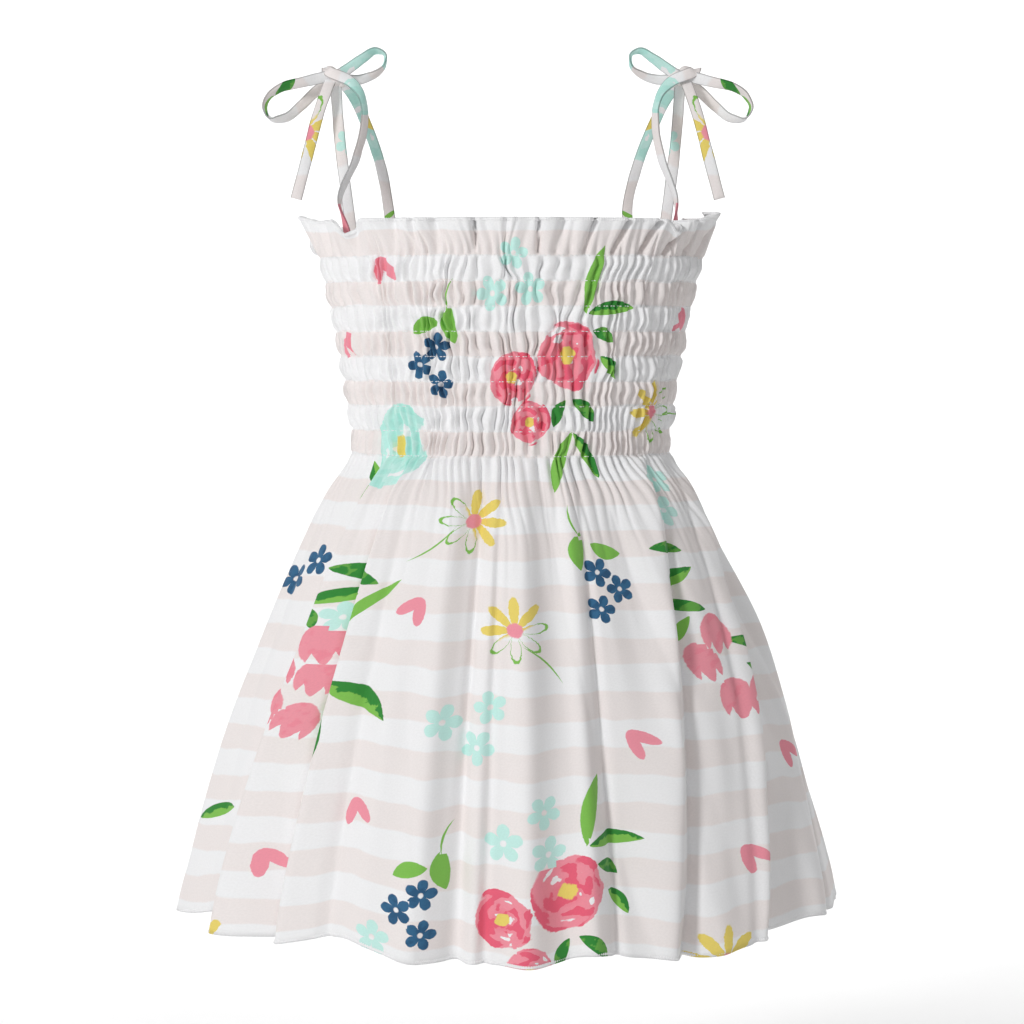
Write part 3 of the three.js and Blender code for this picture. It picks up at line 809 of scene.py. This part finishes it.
    # peony: washes that run round the flower
    swirl = put(tree, "CombineXYZ", [calc("MULTIPLY", radius, 2.1),
                                     calc("MULTIPLY", angle, 0.55)])
    swirl = vector("ADD", swirl, vector("SCALE", millimetres, scale=0.02))
    petals = noise(swirl, 1.75, 1.5, 0.35)
    rim = calc("MULTIPLY_ADD", petals, 0.5, 0.68)
    disc = ramp(calc("SUBTRACT", rim, radius), 0.0, 0.03)
    deep = calc("MAXIMUM", ramp(petals, 0.53, 0.57), ramp(radius, 0.42, 0.22, 0, 0.5))
    palePetal = blend(tint, hue["peonyPale"], hue["aqua"])
    deepPetal = blend(tint, hue["peonyDeep"], hue["aquaDeep"])
    colour = paint(colour, blend(deep, palePetal, deepPetal), disc, "peony")
    gleam = calc("MULTIPLY", ramp(petals, 0.335, 0.315), disc)
    colour = paint(colour, hue["white"], gleam, "peony")
    centre = calc("SUBTRACT", calc("MULTIPLY_ADD", wash, 0.22, 0.12), radius)
    colour = paint(colour, hue["yellow"], ramp(centre, 0.0, 0.03), "peony")

    # the weave: two sets of yarns, and a mottle where the print takes unevenly
    mottle = ramp(noise(millimetres, 1.1, 2.0), 0.3, 0.7, 0.96, 1.0)
    colour = blend(1.0, colour, mottle, "MULTIPLY")
    if paintedEdgeShadeSpan:  # painted shade: a grey line along a tie's folded edges stands in for the shadow there
        edgeShade = ramp(calc("ABSOLUTE", axis(cloth, 0)), *paintedEdgeShadeSpan, 1.0, 0.5)
        colour = blend(1.0, colour, edgeShade, "MULTIPLY")
    turns = 2 * np.pi / cotton["weaveSpacing"]
    warp, weft = (calc("SINE", calc("MULTIPLY", axis(millimetres, k), turns)) for k in (0, 1))
    weave = calc("MULTIPLY_ADD", calc("MULTIPLY", warp, weft), 0.5, mottle)
    rumple = noise(millimetres, 0.12, 3.0)
    raised = put(tree, "Bump", {0: 0.25, 1: 0.0003, 3: rumple})
    raised = put(tree, "Bump", {0: 0.12, 1: 0.00005, 3: weave, 4: raised})
    tree.links.new(colour, shader.inputs["Base Color"])
    tree.links.new(raised, shader.inputs["Normal"])
    shader.inputs["Roughness"].default_value = cotton["roughness"]
    shader.inputs["Sheen Weight"].default_value = cotton["sheen"]
    return material


poplin = printedCotton("printedCottonPoplin")
print("material: printed cotton")

panels = {
    "frontPanel": {"start": 0, "node": "front_panel", "print": frontPrint, "behind": False},
    "backPanel": {"start": 2, "node": "back_panel", "print": backPrint, "behind": True},
}


# The face that each corner belongs to, and its vertex
def cornersOf(faces):
    counts = np.array([len(face) for face in faces])
    return np.repeat(np.arange(len(faces)), counts), np.concatenate(faces)


# Numbers of the points in rings, and the same turned round by one point
def ringNumbers(*shape):
    index = np.arange(np.prod(shape)).reshape(shape)
    return index, np.roll(index, -1, axis=-1)


# Quads of a grid of points, with its first corner numbered first
def gridFaces(rows, columns, first=0, flip=False):
    index = first + np.arange(rows * columns).reshape(rows, columns)
    corners = [index[:-1, :-1], index[1:, :-1], index[1:, 1:], index[:-1, 1:]]
    if flip:
        corners = corners[::-1]
    return np.stack([c.ravel() for c in corners], -1)


# Faces between an edge of the outer grid and the coarser edge of the inner grid
def rimFaces(outerEdge, innerEdge, flip):
    faces = []
    for k in range(len(innerEdge) - 1):
        run = outerEdge[k * innerStep : (k + 1) * innerStep + 1].tolist()
        face = run + [int(innerEdge[k + 1]), int(innerEdge[k])]
        faces.append(face[::-1] if flip else face)
    return faces


def makePanel(name, facts):
    surface = panelSurface(facts["start"])
    rows, columns = surface["place"].shape
    keepRows = np.arange(0, rows, innerStep)
    keepColumns = np.arange(0, columns, innerStep)
    inner = np.ix_(keepRows, keepColumns)
    points = np.concatenate([
        surface["outer"].reshape(-1, 3),
        surface["inside"][inner].reshape(-1, 3),
    ])
    innerFirst = rows * columns
    outerIndex = np.arange(rows * columns).reshape(rows, columns)
    innerIndex = innerFirst + np.arange(len(keepRows) * len(keepColumns)).reshape(
        len(keepRows), len(keepColumns))
    faces = gridFaces(rows, columns).tolist()
    outerCount = len(faces)
    faces += gridFaces(len(keepRows), len(keepColumns), innerFirst, flip=True).tolist()
    faces += rimFaces(outerIndex[0], innerIndex[0], False)
    faces += rimFaces(outerIndex[-1], innerIndex[-1], True)
    faces += rimFaces(outerIndex[:, 0], innerIndex[:, 0], True)
    faces += rimFaces(outerIndex[:, -1], innerIndex[:, -1], False)
    facts["surface"] = surface
    faceOfCorner, vertexOfCorner = cornersOf(faces)

    def both(key):
        return np.concatenate([surface[key].ravel(), surface[key][inner].ravel()])

    cloth = [both("place"), both("down"), both("quarter")]
    atX, atY = onPicture(surface["outer"], facts["behind"])

    def anchorOf(column, row):
        nearest = np.argmin((atX - column) ** 2 + (atY - row) ** 2)
        i, j = np.unravel_index(nearest, atX.shape)
        squeeze = dress["squeeze"] if surface["z"][i] > waist else 1.0
        return surface["place"][i, j], surface["down"][i, j], squeeze

    blooms, leaves = layOut(facts["print"], anchorOf)
    uvMaps = {
        "cloth": np.stack([cloth[0] * cloth[2], both("bands")], -1)[vertexOfCorner],
        "weave": np.stack([cloth[0] * cloth[2], -cloth[1]], -1)[vertexOfCorner],
        "bloom": printCoordinates(cloth, faceOfCorner, vertexOfCorner, blooms, False),
        "leaf": printCoordinates(cloth, faceOfCorner, vertexOfCorner, leaves, True),
    }
    plain = faceOfCorner >= outerCount  # the print hardly shows on the inside
    uvMaps["bloom"][plain] = (noMotif, 0)
    uvMaps["leaf"][plain] = (noMotif, 0)
    return makePiece(name, points, faces, poplin, uvMaps)


for name, facts in panels.items():
    facts["piece"] = makePanel(name, facts)
    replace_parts(facts["piece"], facts["node"])
    print("panel:", name, len(facts["piece"].data.polygons), "faces")


thread = {
    "white": "#FDFDFE",
    "roughness": 0.55,
    "pitch": 1.25,  # mm between the stitches of an overlocked edge
    "edgeHeight": 1.15,  # half the height of the overlocked edge
    "edgeThickness": 1.05,
    "dashStarts": (0.9, 3.1),  # in columns, from the furrow before
    "dashLength": 1.7,
    "dashThickness": 0.28,
    "dashLift": 0.16,
}


# Polyester sewing thread: bright white, a little shinier than the cloth
def sewingThread():
    material, tree, shader = newMaterial("polyesterSewingThread")
    ply = put(tree, "TexNoise", {0: put(tree, "TexCoord", out=3), 2: 900.0, 3: 2.0})
    shade = put(tree, "MapRange", [ply, 0.3, 0.7, 0.93, 1.0])
    colour = put(tree, "Mix", {0: 1.0, 6: linear(thread["white"]), 7: shade}, out=2,
                 data_type="RGBA", blend_type="MULTIPLY")
    tree.links.new(colour, shader.inputs["Base Color"])
    tree.links.new(put(tree, "Bump", {0: 0.3, 1: 0.0001, 3: ply}), shader.inputs["Normal"])
    shader.inputs["Roughness"].default_value = thread["roughness"]
    return material


whiteThread = sewingThread()


# Unit vectors along the last axis
def unit(vectors):
    return vectors / np.maximum(np.linalg.norm(vectors, axis=-1, keepdims=True), 1e-9)


# Tubes: rings of points round centre lines, closed at both ends unless they run round. lines has
# the shape (tubes, steps, 3), and a, b are the two half axes of each ring as vectors.
def tubes(lines, a, b, around):
    count, steps = lines.shape[:2]
    turn = np.linspace(0, 2 * np.pi, around, endpoint=False)
    ring = (
        lines[:, :, None]
        + a[:, :, None] * np.cos(turn)[None, None, :, None]
        + b[:, :, None] * np.sin(turn)[None, None, :, None]
    )
    points = ring.reshape(-1, 3)
    index, turned = ringNumbers(count, steps, around)
    quads = np.stack([index[:, :-1], turned[:, :-1], turned[:, 1:], index[:, 1:]], -1)
    caps = index[:, 0, ::-1].tolist() + index[:, -1].tolist()
    return points, quads.reshape(-1, 4).tolist() + caps


# Dashes of elastic stitching: one short thread over the crest of each gather on every row
def elasticStitches(name, surface):
    rows = [int(np.argmin(np.abs(surface["z"] - (dress["firstRow"] - k * dress["rowPitch"]))))
            for k in range(dress["rows"])]
    outer = surface["outer"]
    lines, lifts = [], []
    steps = dress["stepsPerGather"]
    for row in rows:
        normals = unit(np.cross(outer[row + 1] - outer[row - 1], np.gradient(outer[row], axis=0)))
        for first in thread["dashStarts"]:
            at = first + np.linspace(0, thread["dashLength"], 4)
            at = np.arange(dress["gathers"])[:, None] * steps + at
            at = np.clip(at, 0, outer.shape[1] - 1)
            lines.append(resample(at, np.arange(outer.shape[1]), outer[row]))
            lifts.append(resample(at, np.arange(outer.shape[1]), normals))
    lines, lifts = np.concatenate(lines), unit(np.concatenate(lifts))
    lines = lines + lifts * thread["dashLift"]
    side = unit(np.cross(lifts, np.gradient(lines, axis=1)))
    thin = np.array([0.45, 1, 1, 0.45])[None, :, None] * thread["dashThickness"]
    points, faces = tubes(lines, side * thin, lifts * thin, 6)
    return makePiece(name, points, faces, whiteThread)


# Overlocked edge: a flattened tube over the raw edge whose rings swell with each stitch, so that
# the loops run slantwise over it
def overlockedEdge(name, edge, inward):
    lengths = walkedAlong(edge)
    at = np.linspace(0, lengths[-1], int(lengths[-1] / thread["pitch"] * 4))
    line = resample(at, lengths, edge)
    inward = unit(resample(at, lengths, inward))
    along = unit(np.gradient(line, axis=0))
    outward = unit(np.cross(along, inward))
    line = line + inward * thread["edgeHeight"] * 0.75
    stitch = 0.5 + 0.5 * np.cos(2 * np.pi * at / thread["pitch"])
    slant = np.sin(2 * np.pi * at / thread["pitch"])[:, None]
    tall = inward * (thread["edgeHeight"] * (0.86 + 0.28 * stitch[:, None]))
    thick = outward * (thread["edgeThickness"] * (0.82 + 0.3 * stitch[:, None]))
    tall = tall + along * 0.22 * slant
    points, faces = tubes(line[None], tall[None], thick[None], 8)
    return makePiece(name, points, faces, whiteThread)


for name, facts in panels.items():
    surface = facts["surface"]
    middle = (surface["outer"] + surface["inside"]) / 2
    trims = [
        elasticStitches(name + "ElasticStitches", surface),
        overlockedEdge(name + "TopEdging", middle[0], middle[1] - middle[0]),
        overlockedEdge(name + "HemEdging", middle[-1], middle[-2] - middle[-1]),
    ]
    print("trims:", name)

tie = {
    "width": 6.3,
    "thickness": 1.5,
    "channel": (0.78, 0.09, 0.35),  # where it is pressed beside each edge, width and depth
    "step": 1.1,  # mm between its rings
    "around": 18,
    "fineSteps": 400,  # of a route before it is cut into rings
    "stripe": 27,  # cut so that the stripes run slantwise along it
    "rightBowShift": 3.5,  # the right bow lies nearer the neck
    "freeFrom": -66,  # height from which a sewn tie follows that shift
    "tailLengths": {"tail_outer": 0.0695, "tail_inner": 0.0847},
}

# Routes of the ties in millimetres: distance from the middle of the body towards the arm, y, z,
# and the direction of the tie's width
tieRoutes = {
    "bow_loop_outer": [
        (99, -1, 3.5, 0.1, -0.3, 1),
        (107, -3, 1.6, 0.1, -0.3, 1),
        (116, -6, -0.8, 0.1, -0.5, 1),
        (126, -7, -3.4, 0, -0.9, 0.9),
        (133.5, -6, -8, 0, -1, 0.6),
        (136.5, -3, -14, 0.2, -1, 0.3),
        (133.5, 1, -20, 0.3, -1, 0.3),
        (126, 4, -19.5, 0.1, -0.8, 0.7),
        (117, 6, -12.5, 0.3, -0.5, 0.9),
        (108, 6.5, -4, 0.4, -0.4, 0.8),
        (100, 5, 1, 0.3, -0.3, 0.8),
    ],
    "bow_loop_inner": [
        (97, 0, 3, 0.4, -0.5, 1),
        (90, 0, 7.5, 0.4, -0.5, 1),
        (82, -1, 13, 0.4, -0.7, 0.8),
        (75, 0, 17, 0.2, -1, 0.5),
        (70.5, 2, 15.5, 0, -1, 0.2),
        (70.5, 5, 10, 0, -1, 0.2),
        (76, 8, 5, 0.1, -0.8, 0.5),
        (84, 8.5, 2.2, 0.1, -0.6, 0.8),
        (95, 6, 2, 0, -0.5, 1),
    ],
    "tail_outer": [
        (100, -1, 1, 1, 0, 0.2),
        (102.5, -5, -6, 1, 0, 0.2),
        (106.5, -7, -18, 1, -0.1, 0.2),
        (111.5, -8, -37, 1, -0.2, 0.2),
        (119, -8, -65, 1, -0.1, 0.3),
    ],
    "tail_inner": [
        (97.5, 2, 0, 1, 0.1, 0),
        (97, 3, -10, 1, 0.2, 0),
        (95, 4, -36, 1, 0.1, 0),
        (92.5, 4, -57, 1, 0, 0),
        (89, 4, -84, 1, -0.1, 0),
    ],
    "tie_front": [
        (93.5, -29, -66, -0.3, 1, 0),
        (85, -23, -44, -0.55, 0.83, 0),
        (81, -17, -27, -0.55, 0.83, 0),
        (81, -11, -14, -0.4, 0.85, 0.2),
        (84.5, -6.5, -5, -0.3, 0.7, 0.6),
        (90, -4.6, 0.6, -0.4, 0.3, 1),
        (96, -4.9, 3.2, -0.5, 0, 1),
        (100.3, -3.9, 5.0, -0.7, -0.3, 0.7),
        (102.2, -0.8, 6.4, -0.9, -0.2, -0.3),
        (102.4, 3.0, 5.4, -0.9, 0, -0.4),
    ],
    "tie_back": [
        (70.5, 52, -68, 1, 0.3, 0),
        (74, 42, -46, 1, 0.2, 0),
        (82, 27, -21, 1, 0.1, 0),
        (89.5, 14, -5.5, 1, 0, 0.1),
        (96, 4, 1, 1, 0, 0.2),
    ],
}
# Place of each holding tie's sewn end, and which way its width runs round the dress
sewnEnds = {"tie_front": (1.695, 1), "tie_back": (2.5, -1)}

# Print on each tie: blooms by distance along the tie and across it, with kind, tint, radius and
# turn, and leaves with tint, half length, half width and turn
tiePrint = {
    "bow_loop_outer": ([], [(28, 0, 2, 9, 3.4, 30), (43, 1, 1, 8, 3.2, -20)], 0.4),
    "bow_loop_inner": ([(22, 11, "peony", 1, 25, 0)], [], 0.2),
    "tail_outer": ([(33, -4.5, "daisy", 0, 22, -30)], [], 0.9),
    "tail_inner": ([(34, 5, "fivePetal", 1, 8, 0)], [], 0.3),
    "tie_front": ([(24, 0, "tulip", 0, 13, 60), (104, 9, "peony", 1, 17, 0)], [], 0.6),
    "tie_back": ([(90, 5, "peony", 1, 30, 0)], [(31, 0, 0, 5, 1.4, 60)], 0.1),
}


# Cubic through points at equal steps of length, with the neighbours' slopes
def smoothRoute(controls, step):
    knots = walkedAlong(controls[:, :3])
    slopes = np.gradient(controls, knots, axis=0)
    fine = np.linspace(0, knots[-1], tie["fineSteps"])
    i = np.clip(np.searchsorted(knots, fine, side="right") - 1, 0, len(knots) - 2)
    span = (knots[i + 1] - knots[i])[:, None]
    t = ((fine - knots[i])[:, None]) / span
    curve = hermite(t, controls[i], slopes[i] * span, controls[i + 1], slopes[i + 1] * span)
    walked = walkedAlong(curve[:, :3])
    at = np.linspace(0, walked[-1], max(3, int(round(walked[-1] / step)) + 1))
    return at, resample(at, walked, curve)


# A tie: a flat folded tube carried along its route. Across its width u runs from -1 to 1 and its
# half thickness is (1 - u^6)^0.5 with a shallow channel beside each edge, where it is pressed.
def ribbon(name, node, route, side):
    controls = np.array(route, float)
    controls[:, 0] *= side
    controls[:, 3] *= side
    at, path = smoothRoute(controls, tie["step"])
    line, wide = path[:, :3], path[:, 3:]
    along = unit(np.gradient(line, axis=0))
    wide = unit(wide - along * np.sum(wide * along, -1, keepdims=True))
    face = np.cross(along, wide)
    turn = np.linspace(0, 2 * np.pi, tie["around"], endpoint=False)
    u = np.sign(np.cos(turn)) * np.abs(np.cos(turn)) ** 0.7
    half = np.sign(np.sin(turn)) * np.sqrt(np.clip(1 - np.abs(u) ** 6, 0, None))
    channel, breadth, depth = tie["channel"]
    half = half * (1 - depth * np.exp(-(((np.abs(u) - channel) / breadth) ** 2)))
    uneven = 1 + 0.04 * valueNoise(at / 9 + side * 3, at * 0 + len(node), 2)[:, None, None]
    ripple = 0.25 * valueNoise(at[:, None] / 5 + side * 5, u[None] * 1.5 + len(node), 3)
    closed = np.clip(np.minimum(at, at[-1] - at) / 0.6, 0.5, 1)[:, None, None]
    ring = (
        line[:, None]
        + wide[:, None] * u[None, :, None] * tie["width"] / 2 * uneven
        + face[:, None] * (half[None, :, None] * tie["thickness"] / 2 * closed
                           + ripple[..., None])
    )
    steps, around = ring.shape[:2]
    index, turned = ringNumbers(steps, around)
    quads = np.stack([index[:-1], turned[:-1], turned[1:], index[1:]], -1).reshape(-1, 4)
    faces = quads.tolist() + [index[0, ::-1].tolist(), index[-1].tolist()]
    faceOfCorner, vertexOfCorner = cornersOf(faces)
    cloth = [
        np.repeat(at, around),
        np.tile(u * tie["width"] / 2, steps),
        np.ones(steps * around),
    ]
    blooms, leaves, firstBand = tiePrint[node]
    blooms = [(s, 0, 1, 0, y, r, r, np.radians(a), bloomKinds[kind], tint)
              for s, y, kind, tint, r, a in blooms]
    leaves = [(s, 0, 1, 0, y, length, width, np.radians(a), 0, tint)
              for s, y, tint, length, width, a in leaves]
    far = [(-500, 0, 1, 0, 0, 1, 1, 0, 0, 0)]
    uvMaps = {
        "cloth": np.stack([cloth[1], firstBand + cloth[0] / tie["stripe"]], -1)[vertexOfCorner],
        "weave": np.stack([cloth[0], cloth[1]], -1)[vertexOfCorner],
        "bloom": printCoordinates(cloth, faceOfCorner, vertexOfCorner,
                                  np.array(blooms or far, float), False),
        "leaf": printCoordinates(cloth, faceOfCorner, vertexOfCorner,
                                 np.array(leaves or far, float), True),
    }
    piece = makePiece(name, ring.reshape(-1, 3), faces, poplinTie, uvMaps)
    return piece, line * millimetre, at[-1] * millimetre


# The sewn end of a tie, flat against the inside of a panel below the first row
def sewnPoints(node, side):
    place, runs = sewnEnds[node]
    heights = np.array([-4.0, 3.0, 10.0]) + dress["firstRow"]
    body, normals = bodyRings(heights, np.full((3, 1), place))[:2]
    body, normals = body[:, 0], normals[:, 0]
    inward = 3.4 + np.clip(heights - dress["firstRow"], 0, None) * 0.28
    return [
        (body[k, 0] - normals[k, 0] * inward[k], body[k, 1] - normals[k, 1] * inward[k],
         heights[k], -normals[k, 1] * runs, normals[k, 0] * runs, 0)
        for k in range(3)
    ]


# The tie's cloth: the same printed cotton, with painted shade, a grey line, along both folded edges
poplinTie = printedCotton("printedCottonPoplinTie", (2.5, 2.95))
bowKnot = {
    "out": 98,
    "y": 2,
    "z": 3,
    "tilt": 23,  # degrees that its axis falls towards the neck
    "halfLength": 8.4,
    "radius": 4.7,
    "wraps": 2.2,
    "wrapPitch": 1.6,
}


# The knot: a barrel of wraps. s runs from -1 to 1 along it and its radius is (1 - |s|^3)^0.5, with
# rounded ridges |cos| that run slantwise round it, one for each turn of the tie
def knotPiece(name, side):
    s = np.linspace(-1, 1, 41)[:, None]
    turn = np.linspace(0, 2 * np.pi, 48, endpoint=False)[None]
    slant = s * bowKnot["wraps"] + 0.22 * np.sin(turn + 0.6) + 0.4
    ridge = np.abs(np.cos(np.pi * slant / bowKnot["wrapPitch"])) ** 0.6
    body = np.clip(1 - np.abs(s) ** 3, 0.02, 1) ** 0.5
    radius = bowKnot["radius"] * body * (0.8 + 0.24 * ridge)
    radius = radius * (1 + 0.05 * valueNoise(s * 3 + side, turn * 1.3 * np.ones_like(s), 4))
    tilt = np.radians(bowKnot["tilt"])
    axis = np.array([side * np.cos(tilt), 0, np.sin(tilt)])
    up = np.array([-side * np.sin(tilt), 0, np.cos(tilt)])
    front = np.array([0, -1.0, 0])
    shift = tie["rightBowShift"] if side > 0 else 0
    centre = np.array([side * (bowKnot["out"] - shift), bowKnot["y"], bowKnot["z"]])
    points = (
        centre
        + axis * (s * bowKnot["halfLength"])[..., None]
        + front * (radius * np.cos(turn))[..., None]
        + up * (radius * np.sin(turn))[..., None] * 1.05
    )
    steps, around = radius.shape
    index, turned = ringNumbers(steps, around)
    quads = np.stack([index[:-1], index[1:], turned[1:], turned[:-1]], -1).reshape(-1, 4)
    faces = quads.tolist() + [index[0].tolist(), index[-1, ::-1].tolist()]
    faces = [face[::side] for face in faces]
    vertexOfCorner = cornersOf(faces)[1]
    along = np.repeat(s[:, 0] * bowKnot["halfLength"], around)
    girth = np.tile(turn[0] * bowKnot["radius"], steps)
    none = np.full((len(vertexOfCorner), 2), (noMotif, 0.0))
    uvMaps = {
        "cloth": np.stack([0 * girth, 1.6 + along / dress["stripe"]], -1)[vertexOfCorner],
        "weave": np.stack([girth, along], -1)[vertexOfCorner],
        "bloom": none,
        "leaf": none,
    }
    piece = makePiece(name, points.reshape(-1, 3), faces, poplinTie, uvMaps)
    return piece


for sideName, side in (("left", -1), ("right", 1)):
    shift = tie["rightBowShift"] if side > 0 else 0
    knotName = "knot_" + sideName
    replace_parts(knotPiece("bowKnot_" + sideName, side), knotName)
    for node, route in tieRoutes.items():
        route = [(out - shift * min(z / tie["freeFrom"], 1) if node in sewnEnds else out, y, z, *w)
                 for out, y, z, *w in route]
        if node in sewnEnds:
            route = [(p[0], *p[1:]) for p in sewnPoints(node, side)] + route
        else:
            route = [(out - shift, *rest) for out, *rest in route]
        piece, line, length = ribbon(node + "Cloth_" + sideName, node, route, side)
        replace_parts(piece, node + "_" + sideName)
        print("tie:", node, sideName, round(length, 4))

studio = {
    "floorHeight": -0.70,  # a toddler's shoulders are this high
    "flatRadius": 2.6,
    "sweepRadius": 1.3,
    "world": 0.345,
    "keyPower": 20,
    "fillPower": 0.9,
    "backdropPower": 36,
    "paint": "#FBFBFB",
    "around": 64,
    "rings": 12,  # on the flat, and as many again in the sweep
}


# The floor: a disc that sweeps up into a wall all round, a quarter circle in section
def studioFloor():
    rings, flat, sweep = studio["rings"], studio["flatRadius"], studio["sweepRadius"]
    rounding = np.linspace(0, np.pi / 2, rings + 1)[1:]
    reach = np.concatenate([np.linspace(0.02, flat, rings), flat + sweep * np.sin(rounding)])
    rise = np.concatenate([np.zeros(rings), sweep * (1 - np.cos(rounding))])
    turn = np.linspace(0, 2 * np.pi, studio["around"], endpoint=False)
    points = np.stack([
        reach[:, None] * np.cos(turn), reach[:, None] * np.sin(turn),
        studio["floorHeight"] + rise[:, None] + 0 * turn,
    ], -1)
    index, turned = ringNumbers(len(reach), len(turn))
    faces = np.stack([index[:-1], index[1:], turned[1:], turned[:-1]], -1).reshape(-1, 4).tolist()
    faces.append(index[0].tolist())
    mesh = bpy.data.meshes.new("studioFloor")
    mesh.from_pydata(points.reshape(-1, 3).tolist(), [], faces)
    mesh.polygons.foreach_set("use_smooth", np.ones(len(mesh.polygons), bool))
    material, tree, shader = newMaterial("paintedStudioFloor")
    paint = put(tree, "TexNoise", {0: put(tree, "TexCoord", out=3), 2: 6.0, 3: 3.0})
    paint = put(tree, "MapRange", [paint, 0.3, 0.7, 0.97, 1.0])
    colour = put(tree, "Mix", {0: 1.0, 6: linear(studio["paint"]), 7: paint}, out=2,
                 data_type="RGBA", blend_type="MULTIPLY")
    tree.links.new(colour, shader.inputs["Base Color"])
    shader.inputs["Roughness"].default_value = 0.9
    mesh.materials.append(material)
    floor = bpy.data.objects.new("studioFloor", mesh)
    bpy.context.scene.collection.objects.link(floor)


def softLight(name, place, aim, size, power):
    data = bpy.data.lights.new(name, "AREA")
    data.shape = "DISK"
    data.size = size
    data.energy = power
    light = bpy.data.objects.new(name, data)
    light.location = place
    direction = Vector(aim) - Vector(place)
    light.rotation_euler = direction.to_track_quat("-Z", "Y").to_euler()
    bpy.context.scene.collection.objects.link(light)


studioFloor()
softLight("keyLight", (-1.15, -1.65, 0.6), (0, 0, -0.2), 0.4, studio["keyPower"])
softLight("fillLight", (1.2, -1.8, 0.2), (0, 0, -0.25), 1.2, studio["fillPower"])
for side in (-1, 1):
    softLight("backdropLight", (side * 1.1, 1.3, 1.3), (side * 0.5, 3.2, -0.5), 1.0,
              studio["backdropPower"])
world = bpy.data.worlds.new("softbox")
world.use_nodes = True
background = world.node_tree.nodes["Background"]
background.inputs["Color"].default_value = (1, 1, 1, 1)
background.inputs["Strength"].default_value = studio["world"]
bpy.context.scene.world = world
bpy.context.scene.view_settings.view_transform = "Standard"
